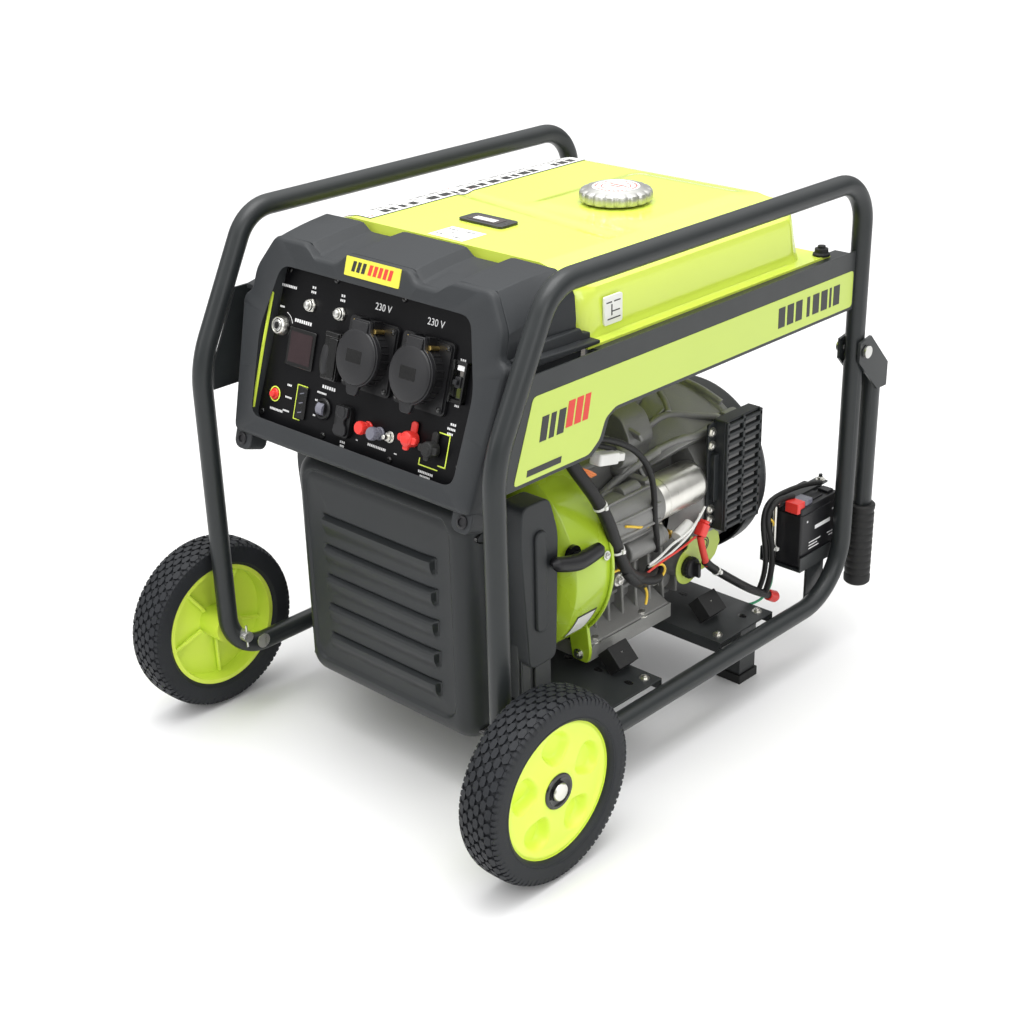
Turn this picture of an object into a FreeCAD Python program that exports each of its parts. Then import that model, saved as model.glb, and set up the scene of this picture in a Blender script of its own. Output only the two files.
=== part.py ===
import FreeCAD, Part
import math
import os
import re

import Sketcher

# Open-frame inverter generator on two wheels. Millimetres, +Z up, +Y towards the rear (the
# handles and battery), +X towards the side that shows the engine. The origin is on the floor,
# under the middle of the whole machine.

doc = FreeCAD.newDocument("InverterGenerator")
Vector = FreeCAD.Vector
Rotation = FreeCAD.Rotation
Placement = FreeCAD.Placement

# ---------------------------------------------------------------------------------------------
# Driving dimensions: alias, value, meaning
# ---------------------------------------------------------------------------------------------
SIZES = [
    ("tube_rad", 14, "outer radius of the frame and handle tube"),
    ("tube_bore", 12, "inner radius of the frame tube"),
    ("loop_x", 272, "centre plane of each side loop"),
    ("loop_low", 96, "centre line of the bottom tube"),
    ("loop_high", 729, "centre line of the top tube"),
    ("loop_front", -353, "centre line of the front upright"),
    ("loop_kink", 538, "height where the front upright leans back"),
    ("loop_brow", -253, "front end of the top tube"),
    ("loop_rear", 392.5, "centre line of the rear upright"),
    ("bend_small", 62, "bend radius at the front corners"),
    ("bend_large", 95, "bend radius at the rear corners"),
    ("bend_kink", 150, "bend radius at the kink"),
    ("wheel_rad", 127, "tyre outer radius"),
    ("wheel_y", -338, "wheel axle position"),
    ("wheel_x", 330, "middle plane of each tyre"),
    ("tyre_half", 30, "half the tyre width"),
    ("rim_rad", 91.8, "rim outer radius"),
    ("hub_rad", 23, "hub radius"),
    ("axle_rad", 8, "axle radius"),
    ("run_gap", 0.05, "radial running clearance"),
    ("axle_in", 246, "inner end of the stub axles"),
    ("axle_out", 357, "outer end of the stub axles"),
    ("sheet_gauge", 3, "frame sheet thickness"),
    ("rail_x", 274, "outer face of the side rails"),
    ("rail_high", 630, "top edge of the side rails"),
    ("rail_low", 546, "bottom edge of the side rails"),
    ("rail_nose", 498, "bottom edge of a rail's front end"),
    ("plate_x", 258, "half width of the base plates"),
    ("plate_top", 112, "top face of the base plates"),
    ("plate_lip", 18, "depth of the base plates' folded lips"),
    ("front_plate_a", -212, "front edge of the front base plate"),
    ("front_plate_b", -20, "rear edge of the front base plate"),
    ("rear_plate_a", 112, "front edge of the rear base plate"),
    ("rear_plate_b", 240, "rear edge of the rear base plate"),
    ("leg_x", 215, "middle of each rear leg across the frame"),
    ("leg_y", 215, "middle of each rear leg along the frame"),
    ("leg_half", 19, "half the width of a rear leg"),
    ("pad_half", 22, "half the width of a foot pad"),
    ("pad_high", 14, "height of a foot pad"),
    ("pivot_z", 483, "handle pivot height"),
    ("pivot_rad", 5, "handle pivot bolt radius"),
    ("cheek_gap", 15, "half the gap between a handle's cheeks"),
    ("cheek_thick", 4, "cheek plate thickness"),
    ("arm_y", 444, "centre line of a hanging handle"),
    ("arm_low", 90, "bottom of a hanging handle"),
    ("grip_top", 224, "top of a hanging grip"),
    ("grip_rad", 20.5, "grip radius"),
    ("tank_flange", 255, "half width of the tank flange"),
    ("tank_half", 238, "half width of the tank body"),
    ("tank_crown", 178, "half width of the tank's flat top"),
    ("tank_front", -168, "front of the tank body"),
    ("tank_rear", 302, "rear of the tank body"),
    ("tank_seat", 626, "underside of the tank flange"),
    ("tank_hip", 688, "height where the tank's shoulder starts"),
    ("tank_top", 716, "flat top of the tank"),
    ("tank_wall", 2, "tank wall"),
    ("cap_x", 65, "fuel cap across"),
    ("cap_y", 107, "fuel cap along"),
    ("cap_rad", 50, "fuel cap radius"),
    ("cap_low", 722.4, "underside of the fuel cap"),
    ("cap_top", 743, "top of the fuel cap"),
    ("lean", 17, "backward lean of the console, degrees"),
    ("panel_y", -333, "foot of the control panel's face along"),
    ("panel_z", 453, "foot of the control panel's face up"),
    ("bezel_proud", 16, "bezel face in front of the panel face"),
    ("bezel_deep", 26, "bezel depth behind the panel face"),
    ("panel_low_x", 195, "half width of the panel's foot"),
    ("panel_high_x", 178, "half width of the panel's head"),
    ("panel_low_s", 22, "panel foot up the slope"),
    ("panel_high_s", 237, "panel head up the slope"),
    ("bezel_low_x", 220, "bezel half width at its foot"),
    ("bezel_mid_x", 241, "bezel half width at the wings"),
    ("bezel_high_x", 195, "bezel half width at its head"),
    ("bezel_low_s", -23, "bezel foot up the slope"),
    ("bezel_mid_s", 182, "bezel wings up the slope"),
    ("bezel_neck_s", 222, "top of the wings up the slope"),
    ("bezel_high_s", 272, "bezel head up the slope"),
    ("hood_half", 200, "half width of the console's hood"),
    ("hood_rear", -171, "rear edge of the console's hood"),
    ("outlet_s", 148, "main outlets up the slope"),
    ("outlet_a", 3.5, "first main outlet across"),
    ("outlet_b", 100, "second main outlet across"),
    ("outlet_half", 44.5, "half width of an outlet flange"),
    ("outlet_rad", 35, "outlet barrel radius"),
    ("well_rad", 22, "outlet well radius"),
    ("lid_rad", 37, "outlet lid radius"),
    ("lid_low", 20.4, "lid underside above the panel"),
    ("lid_high", 31, "lid top above the panel"),
    ("hinge_s", 189, "lid hinge up the slope"),
    ("cover_x", 168, "half width of the lower cover"),
    ("cover_front", -299, "front of the lower cover"),
    ("cover_rear", -218, "rear edge of the lower cover"),
    ("cover_low", 88, "bottom of the lower cover"),
    ("cover_high", 425, "top of the lower cover"),
    ("cover_round", 35, "edge radius of the lower cover"),
    ("cover_wall", 3, "lower cover wall"),
    ("rib_first", 156, "lowest louvre rib"),
    ("rib_pitch", 45, "louvre pitch"),
    ("crank_x", 70, "crankshaft axis across"),
    ("crank_z", 292, "crankshaft axis up"),
    ("crank_rad", 15, "crankshaft radius"),
    ("shroud_rad", 147, "fan shroud radius"),
    ("shroud_rear", -78, "rear edge of the fan shroud"),
    ("shroud_face", -170, "front of the fan shroud"),
    ("case_low", 130, "underside of the crankcase foot"),
    ("case_right", 134, "right wall of the crankcase"),
    ("case_left", -20, "left wall of the crankcase"),
    ("case_front", -75, "front wall of the crankcase"),
    ("case_rear", 150, "rear wall of the crankcase"),
    ("case_top", 400, "top of the crankcase"),
    ("dipstick_y", 136, "dipstick along"),
    ("dipstick_z", 200, "dipstick up"),
    ("barrel_tilt", -65, "tilt of the cylinder from upright, degrees"),
    ("drum_rad", 120, "alternator housing radius"),
    ("drum_front", 156, "front of the alternator housing"),
    ("drum_rear", 255, "rear of the alternator housing"),
    ("fan_cover_rad", 134, "rear fan cover radius"),
    ("fan_cover_rear", 298, "rear of the fan cover"),
    ("starter_x", 172, "starter axis across"),
    ("starter_z", 330, "starter axis up"),
    ("grille_in", 191, "inner face of the rectifier box"),
    ("grille_out", 216, "outer face of the rectifier box"),
    ("grille_low", 253, "bottom of the rectifier box"),
    ("grille_high", 421, "top of the rectifier box"),
    ("battery_in", 185, "inner face of the battery"),
    ("battery_out", 250, "outer face of the battery"),
    ("battery_front", 316, "front of the battery"),
    ("battery_rear", 414, "rear of the battery"),
    ("battery_low", 152, "underside of the battery"),
    ("battery_top", 247, "top of the battery"),
    ("loom_rad", 9, "engine loom radius"),
    ("lead_rad", 6, "battery lead radius"),
    ("hose_rad", 4.5, "fuel hose radius"),
]

# Where each control sits on the panel: across, and up the slope from the panel's foot.
CONTROLS = {
    "key": (-170, 152),
    "trip_left": (-120, 188),
    "trip_right": (-63, 188),
    "display": (-127, 130),
    "small": (-60, 134),
    "reset": (-165, 62),
    "lamps": (-110, 62),
    "economy": (-68, 64),
    "direct": (-25, 58),
    "post_red": (18, 60),
    "post_black": (40, 58),
    "earth": (58, 58),
    "link_red": (100, 66),
    "link_black": (137, 62),
    "breaker": (160, 150),
}

sheet = doc.addObject("Spreadsheet::Sheet", "dims")
ROWS = list(SIZES)
for control, (across, up) in CONTROLS.items():
    ROWS.append((control + "_x", across, control + " across the panel"))
    ROWS.append((control + "_s", up, control + " up the panel"))
for row, (alias, value, meaning) in enumerate(ROWS, start=1):
    sheet.set("A%d" % row, meaning)
    sheet.set("B%d" % row, str(value))
    sheet.setAlias("B%d" % row, alias)
doc.recompute()
ALIASES = {row[0] for row in ROWS}

UPRIGHT = Rotation()
ALONG_X = Rotation(Vector(0, 1, 0), 90)
ALONG_Y = Rotation(Vector(1, 0, 0), -90)
SIDE_ON = Rotation(Vector(1, 1, 1), 120)      # a sketch's X is the object's Y, its Y is Z
FACE_ON = Rotation(Vector(1, 0, 0), 90)       # a sketch's Y is Z, its normal points forward
AXES = {"x": ALONG_X, "y": ALONG_Y, "z": UPRIGHT}


def size(alias):
    """A driving dimension as a number."""
    return float(sheet.get(alias))


def bound(text):
    """An expression in which each alias points at its cell."""
    def cell(match):
        word = match.group(0)
        return "dims." + word if word in ALIASES else word
    return re.sub(r"[a-z][a-z_0-9]*", cell, str(text))


def number(text):
    """The value of an expression now."""
    value = sheet.evalExpression(bound(text))
    return float(getattr(value, "Value", value))


def put(item, at, turn=UPRIGHT):
    item.Placement = Placement(Vector(), turn)
    for axis, text in zip("xyz", at):
        item.setExpression("Placement.Base." + axis, bound(text))
    return item


# ---------------------------------------------------------------------------------------------
# Shape helpers
# ---------------------------------------------------------------------------------------------
def block(name, low, high):
    """A box between two corners."""
    item = doc.addObject("Part::Box", name)
    for prop, start, end in zip(("Length", "Width", "Height"), low, high):
        item.setExpression(prop, bound("(%s) - (%s)" % (end, start)))
    return put(item, low)


def rod(name, radius, start, length, axis="z"):
    """A cylinder from a point, along an axis."""
    item = doc.addObject("Part::Cylinder", name)
    item.setExpression("Radius", bound(radius))
    item.setExpression("Height", bound(length))
    return put(item, start, AXES[axis])


def cone(name, low_radius, high_radius, start, length, axis="z"):
    item = doc.addObject("Part::Cone", name)
    item.setExpression("Radius1", bound(low_radius))
    item.setExpression("Radius2", bound(high_radius))
    item.setExpression("Height", bound(length))
    return put(item, start, AXES[axis])


def fuse(name, *items):
    item = doc.addObject("Part::MultiFuse", name)
    item.Shapes = list(items)
    return item


def cut(name, base, *tools):
    item = doc.addObject("Part::Cut", name)
    item.Base = base
    item.Tool = tools[0] if len(tools) == 1 else fuse(name + "_tools", *tools)
    return item


def group(name, *items):
    """Separate solids that share one node."""
    item = doc.addObject("Part::Compound", name)
    item.Links = list(items)
    return item


def rounded(name, base, radius, chosen):
    """Fillet the edges that the test picks."""
    doc.recompute()
    item = doc.addObject("Part::Fillet", name)
    item.Base = base
    picked = [n for n, edge in enumerate(base.Shape.Edges, start=1) if chosen(edge)]
    item.Edges = [(n, radius, radius) for n in picked]
    return item


def drawn(body, name, outline):
    """A closed outline on the body's XY plane; two bound dimensions hold each corner."""
    plane = [f for f in body.Origin.OriginFeatures if f.Role == "XY_Plane"][0]
    sketch = body.newObject("Sketcher::SketchObject", name)
    sketch.AttachmentSupport = [(plane, "")]
    sketch.MapMode = "FlatFace"
    corners = [Vector(number(a), number(b), 0) for a, b in outline]
    count = len(corners)
    for n in range(count):
        sketch.addGeometry(Part.LineSegment(corners[n], corners[(n + 1) % count]), False)
    for n in range(count):
        sketch.addConstraint(Sketcher.Constraint("Coincident", n, 2, (n + 1) % count, 1))
    for n in range(count):
        for kind, text in zip(("DistanceX", "DistanceY"), outline[n]):
            value = number(text)
            if abs(value) < 1e-6:
                helper_axis = -2 if kind == "DistanceX" else -1
                sketch.addConstraint(Sketcher.Constraint("PointOnObject", n, 1, helper_axis))
                continue
            index = sketch.addConstraint(Sketcher.Constraint(kind, -1, 1, n, 1, value))
            sketch.setExpression("Constraints[%d]" % index, bound(text))
    return sketch


def padded(name, outline, thickness, at, turn):
    """An outline given thickness, as a part design body."""
    body = doc.addObject("PartDesign::Body", name)
    pad = body.newObject("PartDesign::Pad", name + "_pad")
    pad.Profile = drawn(body, name + "_outline", outline)
    pad.setExpression("Length", bound(thickness))
    body.Tip = pad
    return put(body, at, turn)


def turned(name, profile, at, turn=UPRIGHT):
    """A profile of (radius, position) corners turned about the body's own Y axis."""
    body = doc.addObject("PartDesign::Body", name)
    sketch = drawn(body, name + "_profile", profile)
    lathe = body.newObject("PartDesign::Revolution", name + "_turn")
    lathe.Profile = sketch
    lathe.ReferenceAxis = (sketch, ["V_Axis"])
    lathe.Angle = 360
    body.Tip = lathe
    return put(body, at, turn)


def made(name, shape):
    """A shape worked out by Part's own functions."""
    item = doc.addObject("Part::Feature", name)
    item.Shape = shape
    return item


def path(points, radii, closed=False):
    """Straight runs joined by tangent arcs."""
    count = len(points)
    starts = []
    ends = []
    arcs = []
    for n, point in enumerate(points):
        open_end = not closed and n in (0, count - 1)
        if open_end:
            starts.append(point)
            ends.append(point)
            arcs.append(None)
            continue
        back = (points[n - 1] - point).normalize()
        ahead = (points[(n + 1) % count] - point).normalize()
        half = back.getAngle(ahead) / 2
        reach = radii[n] / math.tan(half)
        middle = (back + ahead).normalize()
        top = point + middle * (radii[n] / math.sin(half) - radii[n])
        starts.append(point + back * reach)
        ends.append(point + ahead * reach)
        arcs.append(Part.Arc(starts[n], top, ends[n]).toShape())
    edges = []
    for n in range(count if closed else count - 1):
        after = (n + 1) % count
        edges.append(Part.LineSegment(ends[n], starts[after]).toShape())
        if arcs[after] is not None:
            edges.append(arcs[after])
    return Part.Wire(edges)


def tube(wire, radius):
    """A round bar along a wire."""
    first = wire.Edges[0]
    start = first.Vertexes[0].Point
    ahead = first.tangentAt(first.FirstParameter)
    ring = Part.Wire(Part.Circle(start, ahead, radius).toShape())
    return wire.makePipeShell([ring], True, True)


def cord_radii(points, share=0.45):
    """The largest arcs that the runs allow, but no tighter than the ends need."""
    radii = [0.0] * len(points)
    for n in range(1, len(points) - 1):
        back = points[n - 1] - points[n]
        ahead = points[n + 1] - points[n]
        shorter = min(back.Length, ahead.Length)
        turn = math.pi - back.getAngle(ahead)
        radii[n] = share * shorter / math.tan(turn / 2)
    return radii


def cord(name, route, radius):
    """A held cable: its tube, checked against its section times its length."""
    points = [Vector(*point) for point in route]
    radii = cord_radii(points)
    wire = path(points, radii)
    shape = tube(wire, radius)
    expected = math.pi * radius ** 2 * wire.Length
    print(name, "length %.0f" % wire.Length, "volume ratio %.4f" % (shape.Volume / expected),
          "radii", [round(r) for r in radii[1:-1]])
    return made(name, shape)


# A frame that lies in the control panel's face: X across, Y up the slope, Z out of the face.
PANEL_TURN = Rotation(Vector(1, 0, 0), 90 - size("lean"))


def on_panel(item):
    item.Placement = Placement(Vector(), PANEL_TURN)
    item.setExpression("Placement.Base.y", bound("panel_y"))
    item.setExpression("Placement.Base.z", bound("panel_z"))
    return item


NODES = []


def node(name, item):
    """Register an object as a sub-part; its label names its file."""
    item.Label = name
    NODES.append(item)
    return item


SIDES = (("left", -1), ("right", 1))


# ---------------------------------------------------------------------------------------------
# Frame
# ---------------------------------------------------------------------------------------------
def frame_loop(name, side):
    """One closed tube loop, drilled for the axle and the handle bolt."""
    middle = side * size("loop_x")
    outline = [
        (size("loop_brow"), size("loop_high"), size("bend_small")),
        (size("loop_rear"), size("loop_high"), size("bend_small")),
        (size("loop_rear"), size("loop_low"), size("bend_large")),
        (size("loop_front"), size("loop_low"), size("bend_small")),
        (size("loop_front"), size("loop_kink"), size("bend_kink")),
    ]
    wire = path([Vector(middle, y, z) for y, z, r in outline], [r for y, z, r in outline], True)
    shell = tube(wire, size("tube_rad")).cut(tube(wire, size("tube_bore")))
    reach = 2 * size("tube_rad") + 4
    start = middle - reach / 2
    gap = size("run_gap")
    across = Vector(1, 0, 0)
    axle_hole = Part.makeCylinder(size("axle_rad") + gap, reach,
                                  Vector(start, size("wheel_y"), size("wheel_rad")), across)
    bolt_hole = Part.makeCylinder(size("pivot_rad") + gap, reach,
                                  Vector(start, size("loop_rear"), size("pivot_z")), across)
    return made(name, shell.cut(axle_hole).cut(bolt_hole))


def side_rail(name, side):
    """Sheet rail inside a loop, with a ledge that carries the tank."""
    outline = [("-284", "rail_high"), ("loop_rear - tube_rad", "rail_high"),
               ("loop_rear - tube_rad", "rail_low"), ("-138", "rail_low"),
               ("-152", "rail_low - 6"), ("-163", "514"), ("-184", "rail_nose"),
               ("-336", "rail_nose"), ("-331", "536")]
    inner = "rail_x - sheet_gauge" if side > 0 else "0 - rail_x"
    web = padded(name + "_web", outline, "sheet_gauge", (inner, "0", "0"), SIDE_ON)
    edges = ("tank_half + 2", "rail_x - sheet_gauge")
    if side < 0:
        edges = ("sheet_gauge - rail_x", "0 - tank_half - 2")
    ledge = block(name + "_ledge", (edges[0], "-160", "tank_seat - sheet_gauge"),
                  (edges[1], "loop_rear - tube_rad - 2", "tank_seat"))
    return fuse(name + "_shape", web, ledge)


def base_plate(name, front, rear):
    """Folded cross plate between the two bottom tubes."""
    top = block(name + "_top", ("0 - plate_x", front, "plate_top - sheet_gauge"),
                ("plate_x", rear, "plate_top"))
    lips = [
        block(name + "_lip_a", ("0 - plate_x", front, "plate_top - plate_lip"),
              ("plate_x", front + " + sheet_gauge", "plate_top")),
        block(name + "_lip_b", ("0 - plate_x", rear + " - sheet_gauge", "plate_top - plate_lip"),
              ("plate_x", rear, "plate_top")),
    ]
    return [top] + lips


def rear_legs():
    legs = []
    for word, side in SIDES:
        middle = "%d * leg_x" % side
        legs.append(block("leg_" + word, (middle + " - leg_half", "leg_y - leg_half", "pad_high"),
                          (middle + " + leg_half", "leg_y + leg_half", "plate_top - 1")))
    return legs


def rubber_mounts():
    """Two foot pads and four engine blocks set at 45 degrees."""
    solids = []
    for word, side in SIDES:
        middle = "%d * leg_x" % side
        solids.append(block("pad_" + word, (middle + " - pad_half", "leg_y - pad_half", "0"),
                            (middle + " + pad_half", "leg_y + pad_half", "pad_high")))
    tilted = Rotation(Vector(0, 1, 0), 45)
    for place_x, word in (("crank_x - 128", "left"), ("crank_x + 128", "right")):
        for place_y, end in (("-42", "front"), ("160", "rear")):
            item = doc.addObject("Part::Box", "mount_%s_%s" % (word, end))
            item.Length = 34
            item.Width = 40
            item.Height = 24
            centre = tilted.multVec(Vector(17, 20, 12))
            put(item, ("%s - %.3f" % (place_x, centre.x), "%s - 20" % place_y,
                       "plate_top + 21 - %.3f" % centre.z), tilted)
            solids.append(item)
    return group("rubber_mounts_shape", *solids)


def wheel_axles():
    axles = []
    for word, side in SIDES:
        start = "axle_in" if side > 0 else "0 - axle_out"
        bar = rod("axle_bar_" + word, "axle_rad", (start, "wheel_y", "wheel_rad"),
                  "axle_out - axle_in", "x")
        pin_hole = rod("axle_pin_hole_" + word, "1.8",
                       ("%d * (axle_in + 5)" % side, "wheel_y", "wheel_rad - 20"), "40")
        axles.append(cut("axle_" + word, bar, pin_hole))
    return group("wheel_axles_shape", *axles)


def frame_fasteners():
    """Split pins, handle bolts and the tank's hold-down bolts."""
    solids = []
    for word, side in SIDES:
        solids.append(rod("split_pin_" + word, "1.7",
                          ("%d * (axle_in + 5)" % side, "wheel_y", "wheel_rad - 17"), "34"))
        bolt_start = "loop_x - 25" if side > 0 else "0 - loop_x - 25"
        shank = rod("bolt_shank_" + word, "pivot_rad", (bolt_start, "loop_rear", "pivot_z"),
                    "50", "x")
        heads = []
        for end, offset in (("a", "0"), ("b", "45")):
            heads.append(rod("bolt_head_%s_%s" % (word, end), "pivot_rad * 1.8",
                             ("%s + %s" % (bolt_start, offset), "loop_rear", "pivot_z"),
                             "5", "x"))
        solids.append(fuse("handle_bolt_" + word, shank, *heads))
        start = ("%d * (tank_flange - 8)" % side, "332", "tank_seat + sheet_gauge")
        stud = rod("tank_stud_" + word, "4.5", start, "13")
        bush = rod("tank_bush_" + word, "9", start, "8")
        solids.append(fuse("tank_bolt_" + word, stud, bush))
    return group("frame_fasteners_shape", *solids)


def build_frame():
    for word, side in SIDES:
        node("frame_loop_" + word, frame_loop("loop_" + word, side))
        node("side_rail_" + word, side_rail("rail_" + word, side))
    node("front_base_plate", fuse("front_plate", *base_plate("front_plate", "front_plate_a",
                                                             "front_plate_b")))
    rear = base_plate("rear_plate", "rear_plate_a", "rear_plate_b") + rear_legs()
    node("rear_base_plate", fuse("rear_plate", *rear))
    bar = block("bar_web", ("sheet_gauge - rail_x", "345", "tank_seat - 36"),
                ("rail_x - sheet_gauge", "348", "tank_seat - sheet_gauge"))
    shelf = block("bar_shelf", ("sheet_gauge - rail_x", "348", "tank_seat - 36"),
                  ("rail_x - sheet_gauge", "370", "tank_seat - 33"))
    node("rear_cross_bar", fuse("rear_bar", bar, shelf))
    node("rubber_mounts", rubber_mounts())
    node("wheel_axles", wheel_axles())
    node("frame_fasteners", frame_fasteners())


# ---------------------------------------------------------------------------------------------
# Wheels and handles
# ---------------------------------------------------------------------------------------------
def wheel_turn(side):
    """The profile's positive positions face outwards."""
    return Rotation(Vector(0, 0, 1), -90 * side)


def tyre(word, side):
    profile = [("rim_rad + 0.2", "-24"), ("rim_rad + 5", "0 - tyre_half"),
               ("wheel_rad - 9", "0 - tyre_half"), ("wheel_rad - 2", "-24"), ("wheel_rad", "-14"),
               ("wheel_rad", "14"), ("wheel_rad - 2", "24"), ("wheel_rad - 9", "tyre_half"),
               ("rim_rad + 5", "tyre_half"), ("rim_rad + 0.2", "24")]
    return turned("tyre_body_" + word, profile, ("%d * wheel_x" % side, "wheel_y", "wheel_rad"),
                  wheel_turn(side))


def rim(word, side):
    """Moulded rim: a flange, a dished web with five pockets, and a hub that runs on the axle."""
    bore = "axle_rad + run_gap"
    profile = [(bore, "-40"), ("hub_rad", "-40"), ("hub_rad", "0"), ("rim_rad - 7", "0"),
               ("rim_rad - 7", "-24"), ("rim_rad", "-24"), ("rim_rad", "24"),
               ("rim_rad - 5", "24"), ("rim_rad - 14", "14"), ("hub_rad + 14", "19"),
               ("hub_rad", "23"), (bore, "23")]
    disc = turned("rim_disc_" + word, profile, ("%d * wheel_x" % side, "wheel_y", "wheel_rad"),
                  wheel_turn(side))
    pockets = []
    for n in range(5):
        angle = 90 + 72 * n
        start = "%d * (wheel_x + 9)" % side if side > 0 else "0 - wheel_x - 25"
        pockets.append(rod("rim_pocket_%s_%d" % (word, n), "15",
                           (start, "wheel_y + 60 * cos(%d)" % angle,
                            "wheel_rad + 60 * sin(%d)" % angle), "16", "x"))
    return cut("rim_shape_" + word, disc, *pockets)


def handle_arm(word, side):
    """Two cheeks that straddle the rear upright, welded to the hanging arm."""
    outline = [("loop_rear - 14", "pivot_z + 15"), ("loop_rear + 14", "pivot_z + 20"),
               ("arm_y + 12", "pivot_z - 32"), ("arm_y + 12", "pivot_z - 68"),
               ("arm_y - 12", "pivot_z - 68"), ("loop_rear - 14", "pivot_z - 14")]
    pieces = []
    middle = "%d * loop_x" % side
    for end, offset in (("a", "0 - cheek_gap - cheek_thick"), ("b", "cheek_gap")):
        pieces.append(padded("cheek_%s_%s" % (word, end), outline, "cheek_thick",
                             ("%s + %s" % (middle, offset), "0", "0"), SIDE_ON))
    pieces.append(block("saddle_" + word,
                        (middle + " - cheek_gap - 1", "arm_y - 11", "pivot_z - 62"),
                        (middle + " + cheek_gap + 1", "arm_y + 11", "pivot_z - 38")))
    pieces.append(rod("arm_tube_" + word, "tube_rad", (middle, "arm_y", "arm_low + 10"),
                      "pivot_z - 50 - arm_low - 10"))
    hole = rod("cheek_hole_" + word, "pivot_rad + run_gap",
               (middle + " - 30", "loop_rear", "pivot_z"), "60", "x")
    return cut("handle_" + word, fuse("handle_solid_" + word, *pieces), hole)


def handle_grip(word, side):
    middle = "%d * loop_x" % side
    sleeve = rod("grip_sleeve_" + word, "grip_rad", (middle, "arm_y", "arm_low"),
                 "grip_top - arm_low")
    bore = rod("grip_bore_" + word, "tube_rad + 0.1", (middle, "arm_y", "arm_low + 9.8"), "300")
    return cut("grip_" + word, sleeve, bore)


def build_running_gear():
    for word, side in SIDES:
        node("tyre_" + word, tyre(word, side))
        node("rim_" + word, rim(word, side))
        node("handle_arm_" + word, handle_arm(word, side))
        node("handle_grip_" + word, handle_grip(word, side))


# ---------------------------------------------------------------------------------------------
# Fuel system
# ---------------------------------------------------------------------------------------------
def tank_hull(name, shrink):
    """The tank's body: a flat crown between two sloped shoulders."""
    half = "(tank_half - %s)" % shrink
    crown = "(tank_crown - %s)" % shrink
    low = "(tank_seat + 3 + %s)" % shrink
    hip = "(tank_hip - %s)" % shrink
    top = "(tank_top - %s)" % shrink
    outline = [("0 - " + half, low), (half, low), (half, hip), (crown, top),
               ("0 - " + crown, top), ("0 - " + half, hip)]
    return padded(name, outline, "tank_rear - tank_front - 2 * %s" % shrink,
                  ("0", "tank_rear - %s" % shrink, "0"), FACE_ON)


def fuel_tank():
    """Pressed shell with a flange all round and a raised seat for the cap."""
    hull = tank_hull("tank_hull", "0")
    hollow = tank_hull("tank_hollow", "tank_wall")
    flange = block("tank_lip", ("0 - tank_flange", "tank_front", "tank_seat"),
                   ("tank_flange", "tank_rear + 40", "tank_seat + 3"))
    seat = rod("cap_seat", "cap_rad + 22", ("cap_x", "cap_y", "tank_top - 1"), "6")
    holes = []
    for word, side in SIDES:
        holes.append(rod("tank_hole_" + word, "4.5",
                         ("%d * (tank_flange - 8)" % side, "332", "tank_seat - 1"), "5"))
    solid = fuse("tank_solid", hull, flange, seat)
    return cut("tank_shape", solid, hollow, *holes)


def fuel_cap():
    """Screw cap with a scalloped skirt and a raised centre."""
    profile = [("0", "cap_low"), ("cap_rad - 4", "cap_low"), ("cap_rad", "cap_low + 3"),
               ("cap_rad", "cap_low + 12"), ("cap_rad - 4", "cap_top - 4"),
               ("cap_rad - 14", "cap_top"), ("0", "cap_top")]
    disc = turned("cap_disc", profile, ("cap_x", "cap_y", "0"), FACE_ON)
    scallops = []
    for n in range(12):
        angle = 30 * n
        scallops.append(rod("cap_scallop_%d" % n, "7",
                            ("cap_x + (cap_rad + 4) * cos(%d)" % angle,
                             "cap_y + (cap_rad + 4) * sin(%d)" % angle, "cap_low - 1"), "15"))
    return cut("cap_shape", disc, *scallops)


def fuel_line():
    """Tap body under the tank, and the hose to the carburettor."""
    tap = block("tap_body", ("-165", "-20", "598"), ("-137", "8", "tank_seat - 0.2"))
    boss = rod("tap_boss", "7", ("-151", "-34", "608"), "16", "y")
    spigot = rod("tap_spigot", "5", ("-151", "-6", "590"), "12")
    route = [(-151, -6, 590), (-152, -10, 560), (-158, -28, 525), (-158, -60, 492),
             (-150, -84, 464), (-143, -88, 440.9)]
    hose = cord("fuel_hose", route, size("hose_rad"))
    return group("fuel_line_shape", fuse("fuel_tap", tap, boss, spigot), hose)


def fuel_tap_lever():
    plate = block("lever_plate", ("-156", "-40.3", "578"), ("-146", "-35.3", "616"))
    knob = rod("lever_knob", "9", ("-151", "-40.3", "608"), "6", "y")
    return fuse("lever_shape", plate, knob)


def build_fuel():
    node("fuel_tank", fuel_tank())
    node("fuel_cap", fuel_cap())
    node("fuel_gauge", block("gauge_body", ("-48", "-82", "tank_top"),
                             ("32", "-46", "tank_top + 4")))
    node("fuel_line", fuel_line())
    node("fuel_tap_lever", fuel_tap_lever())


# ---------------------------------------------------------------------------------------------
# Console: the housing is in the machine's frame, its fittings are in the panel's own frame
# ---------------------------------------------------------------------------------------------
def mirrored(half):
    """An outline that is the same on both sides of X = 0, from its right half."""
    left = [("0 - (%s)" % x, y) for x, y in reversed(half)]
    return list(half) + left


PANEL_HALF = [("panel_low_x - %s", "panel_low_s + %s"), ("panel_high_x - %s", "panel_high_s - %s")]


def panel_outline(margin):
    return mirrored([(x % margin, y % margin) for x, y in PANEL_HALF])


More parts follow.
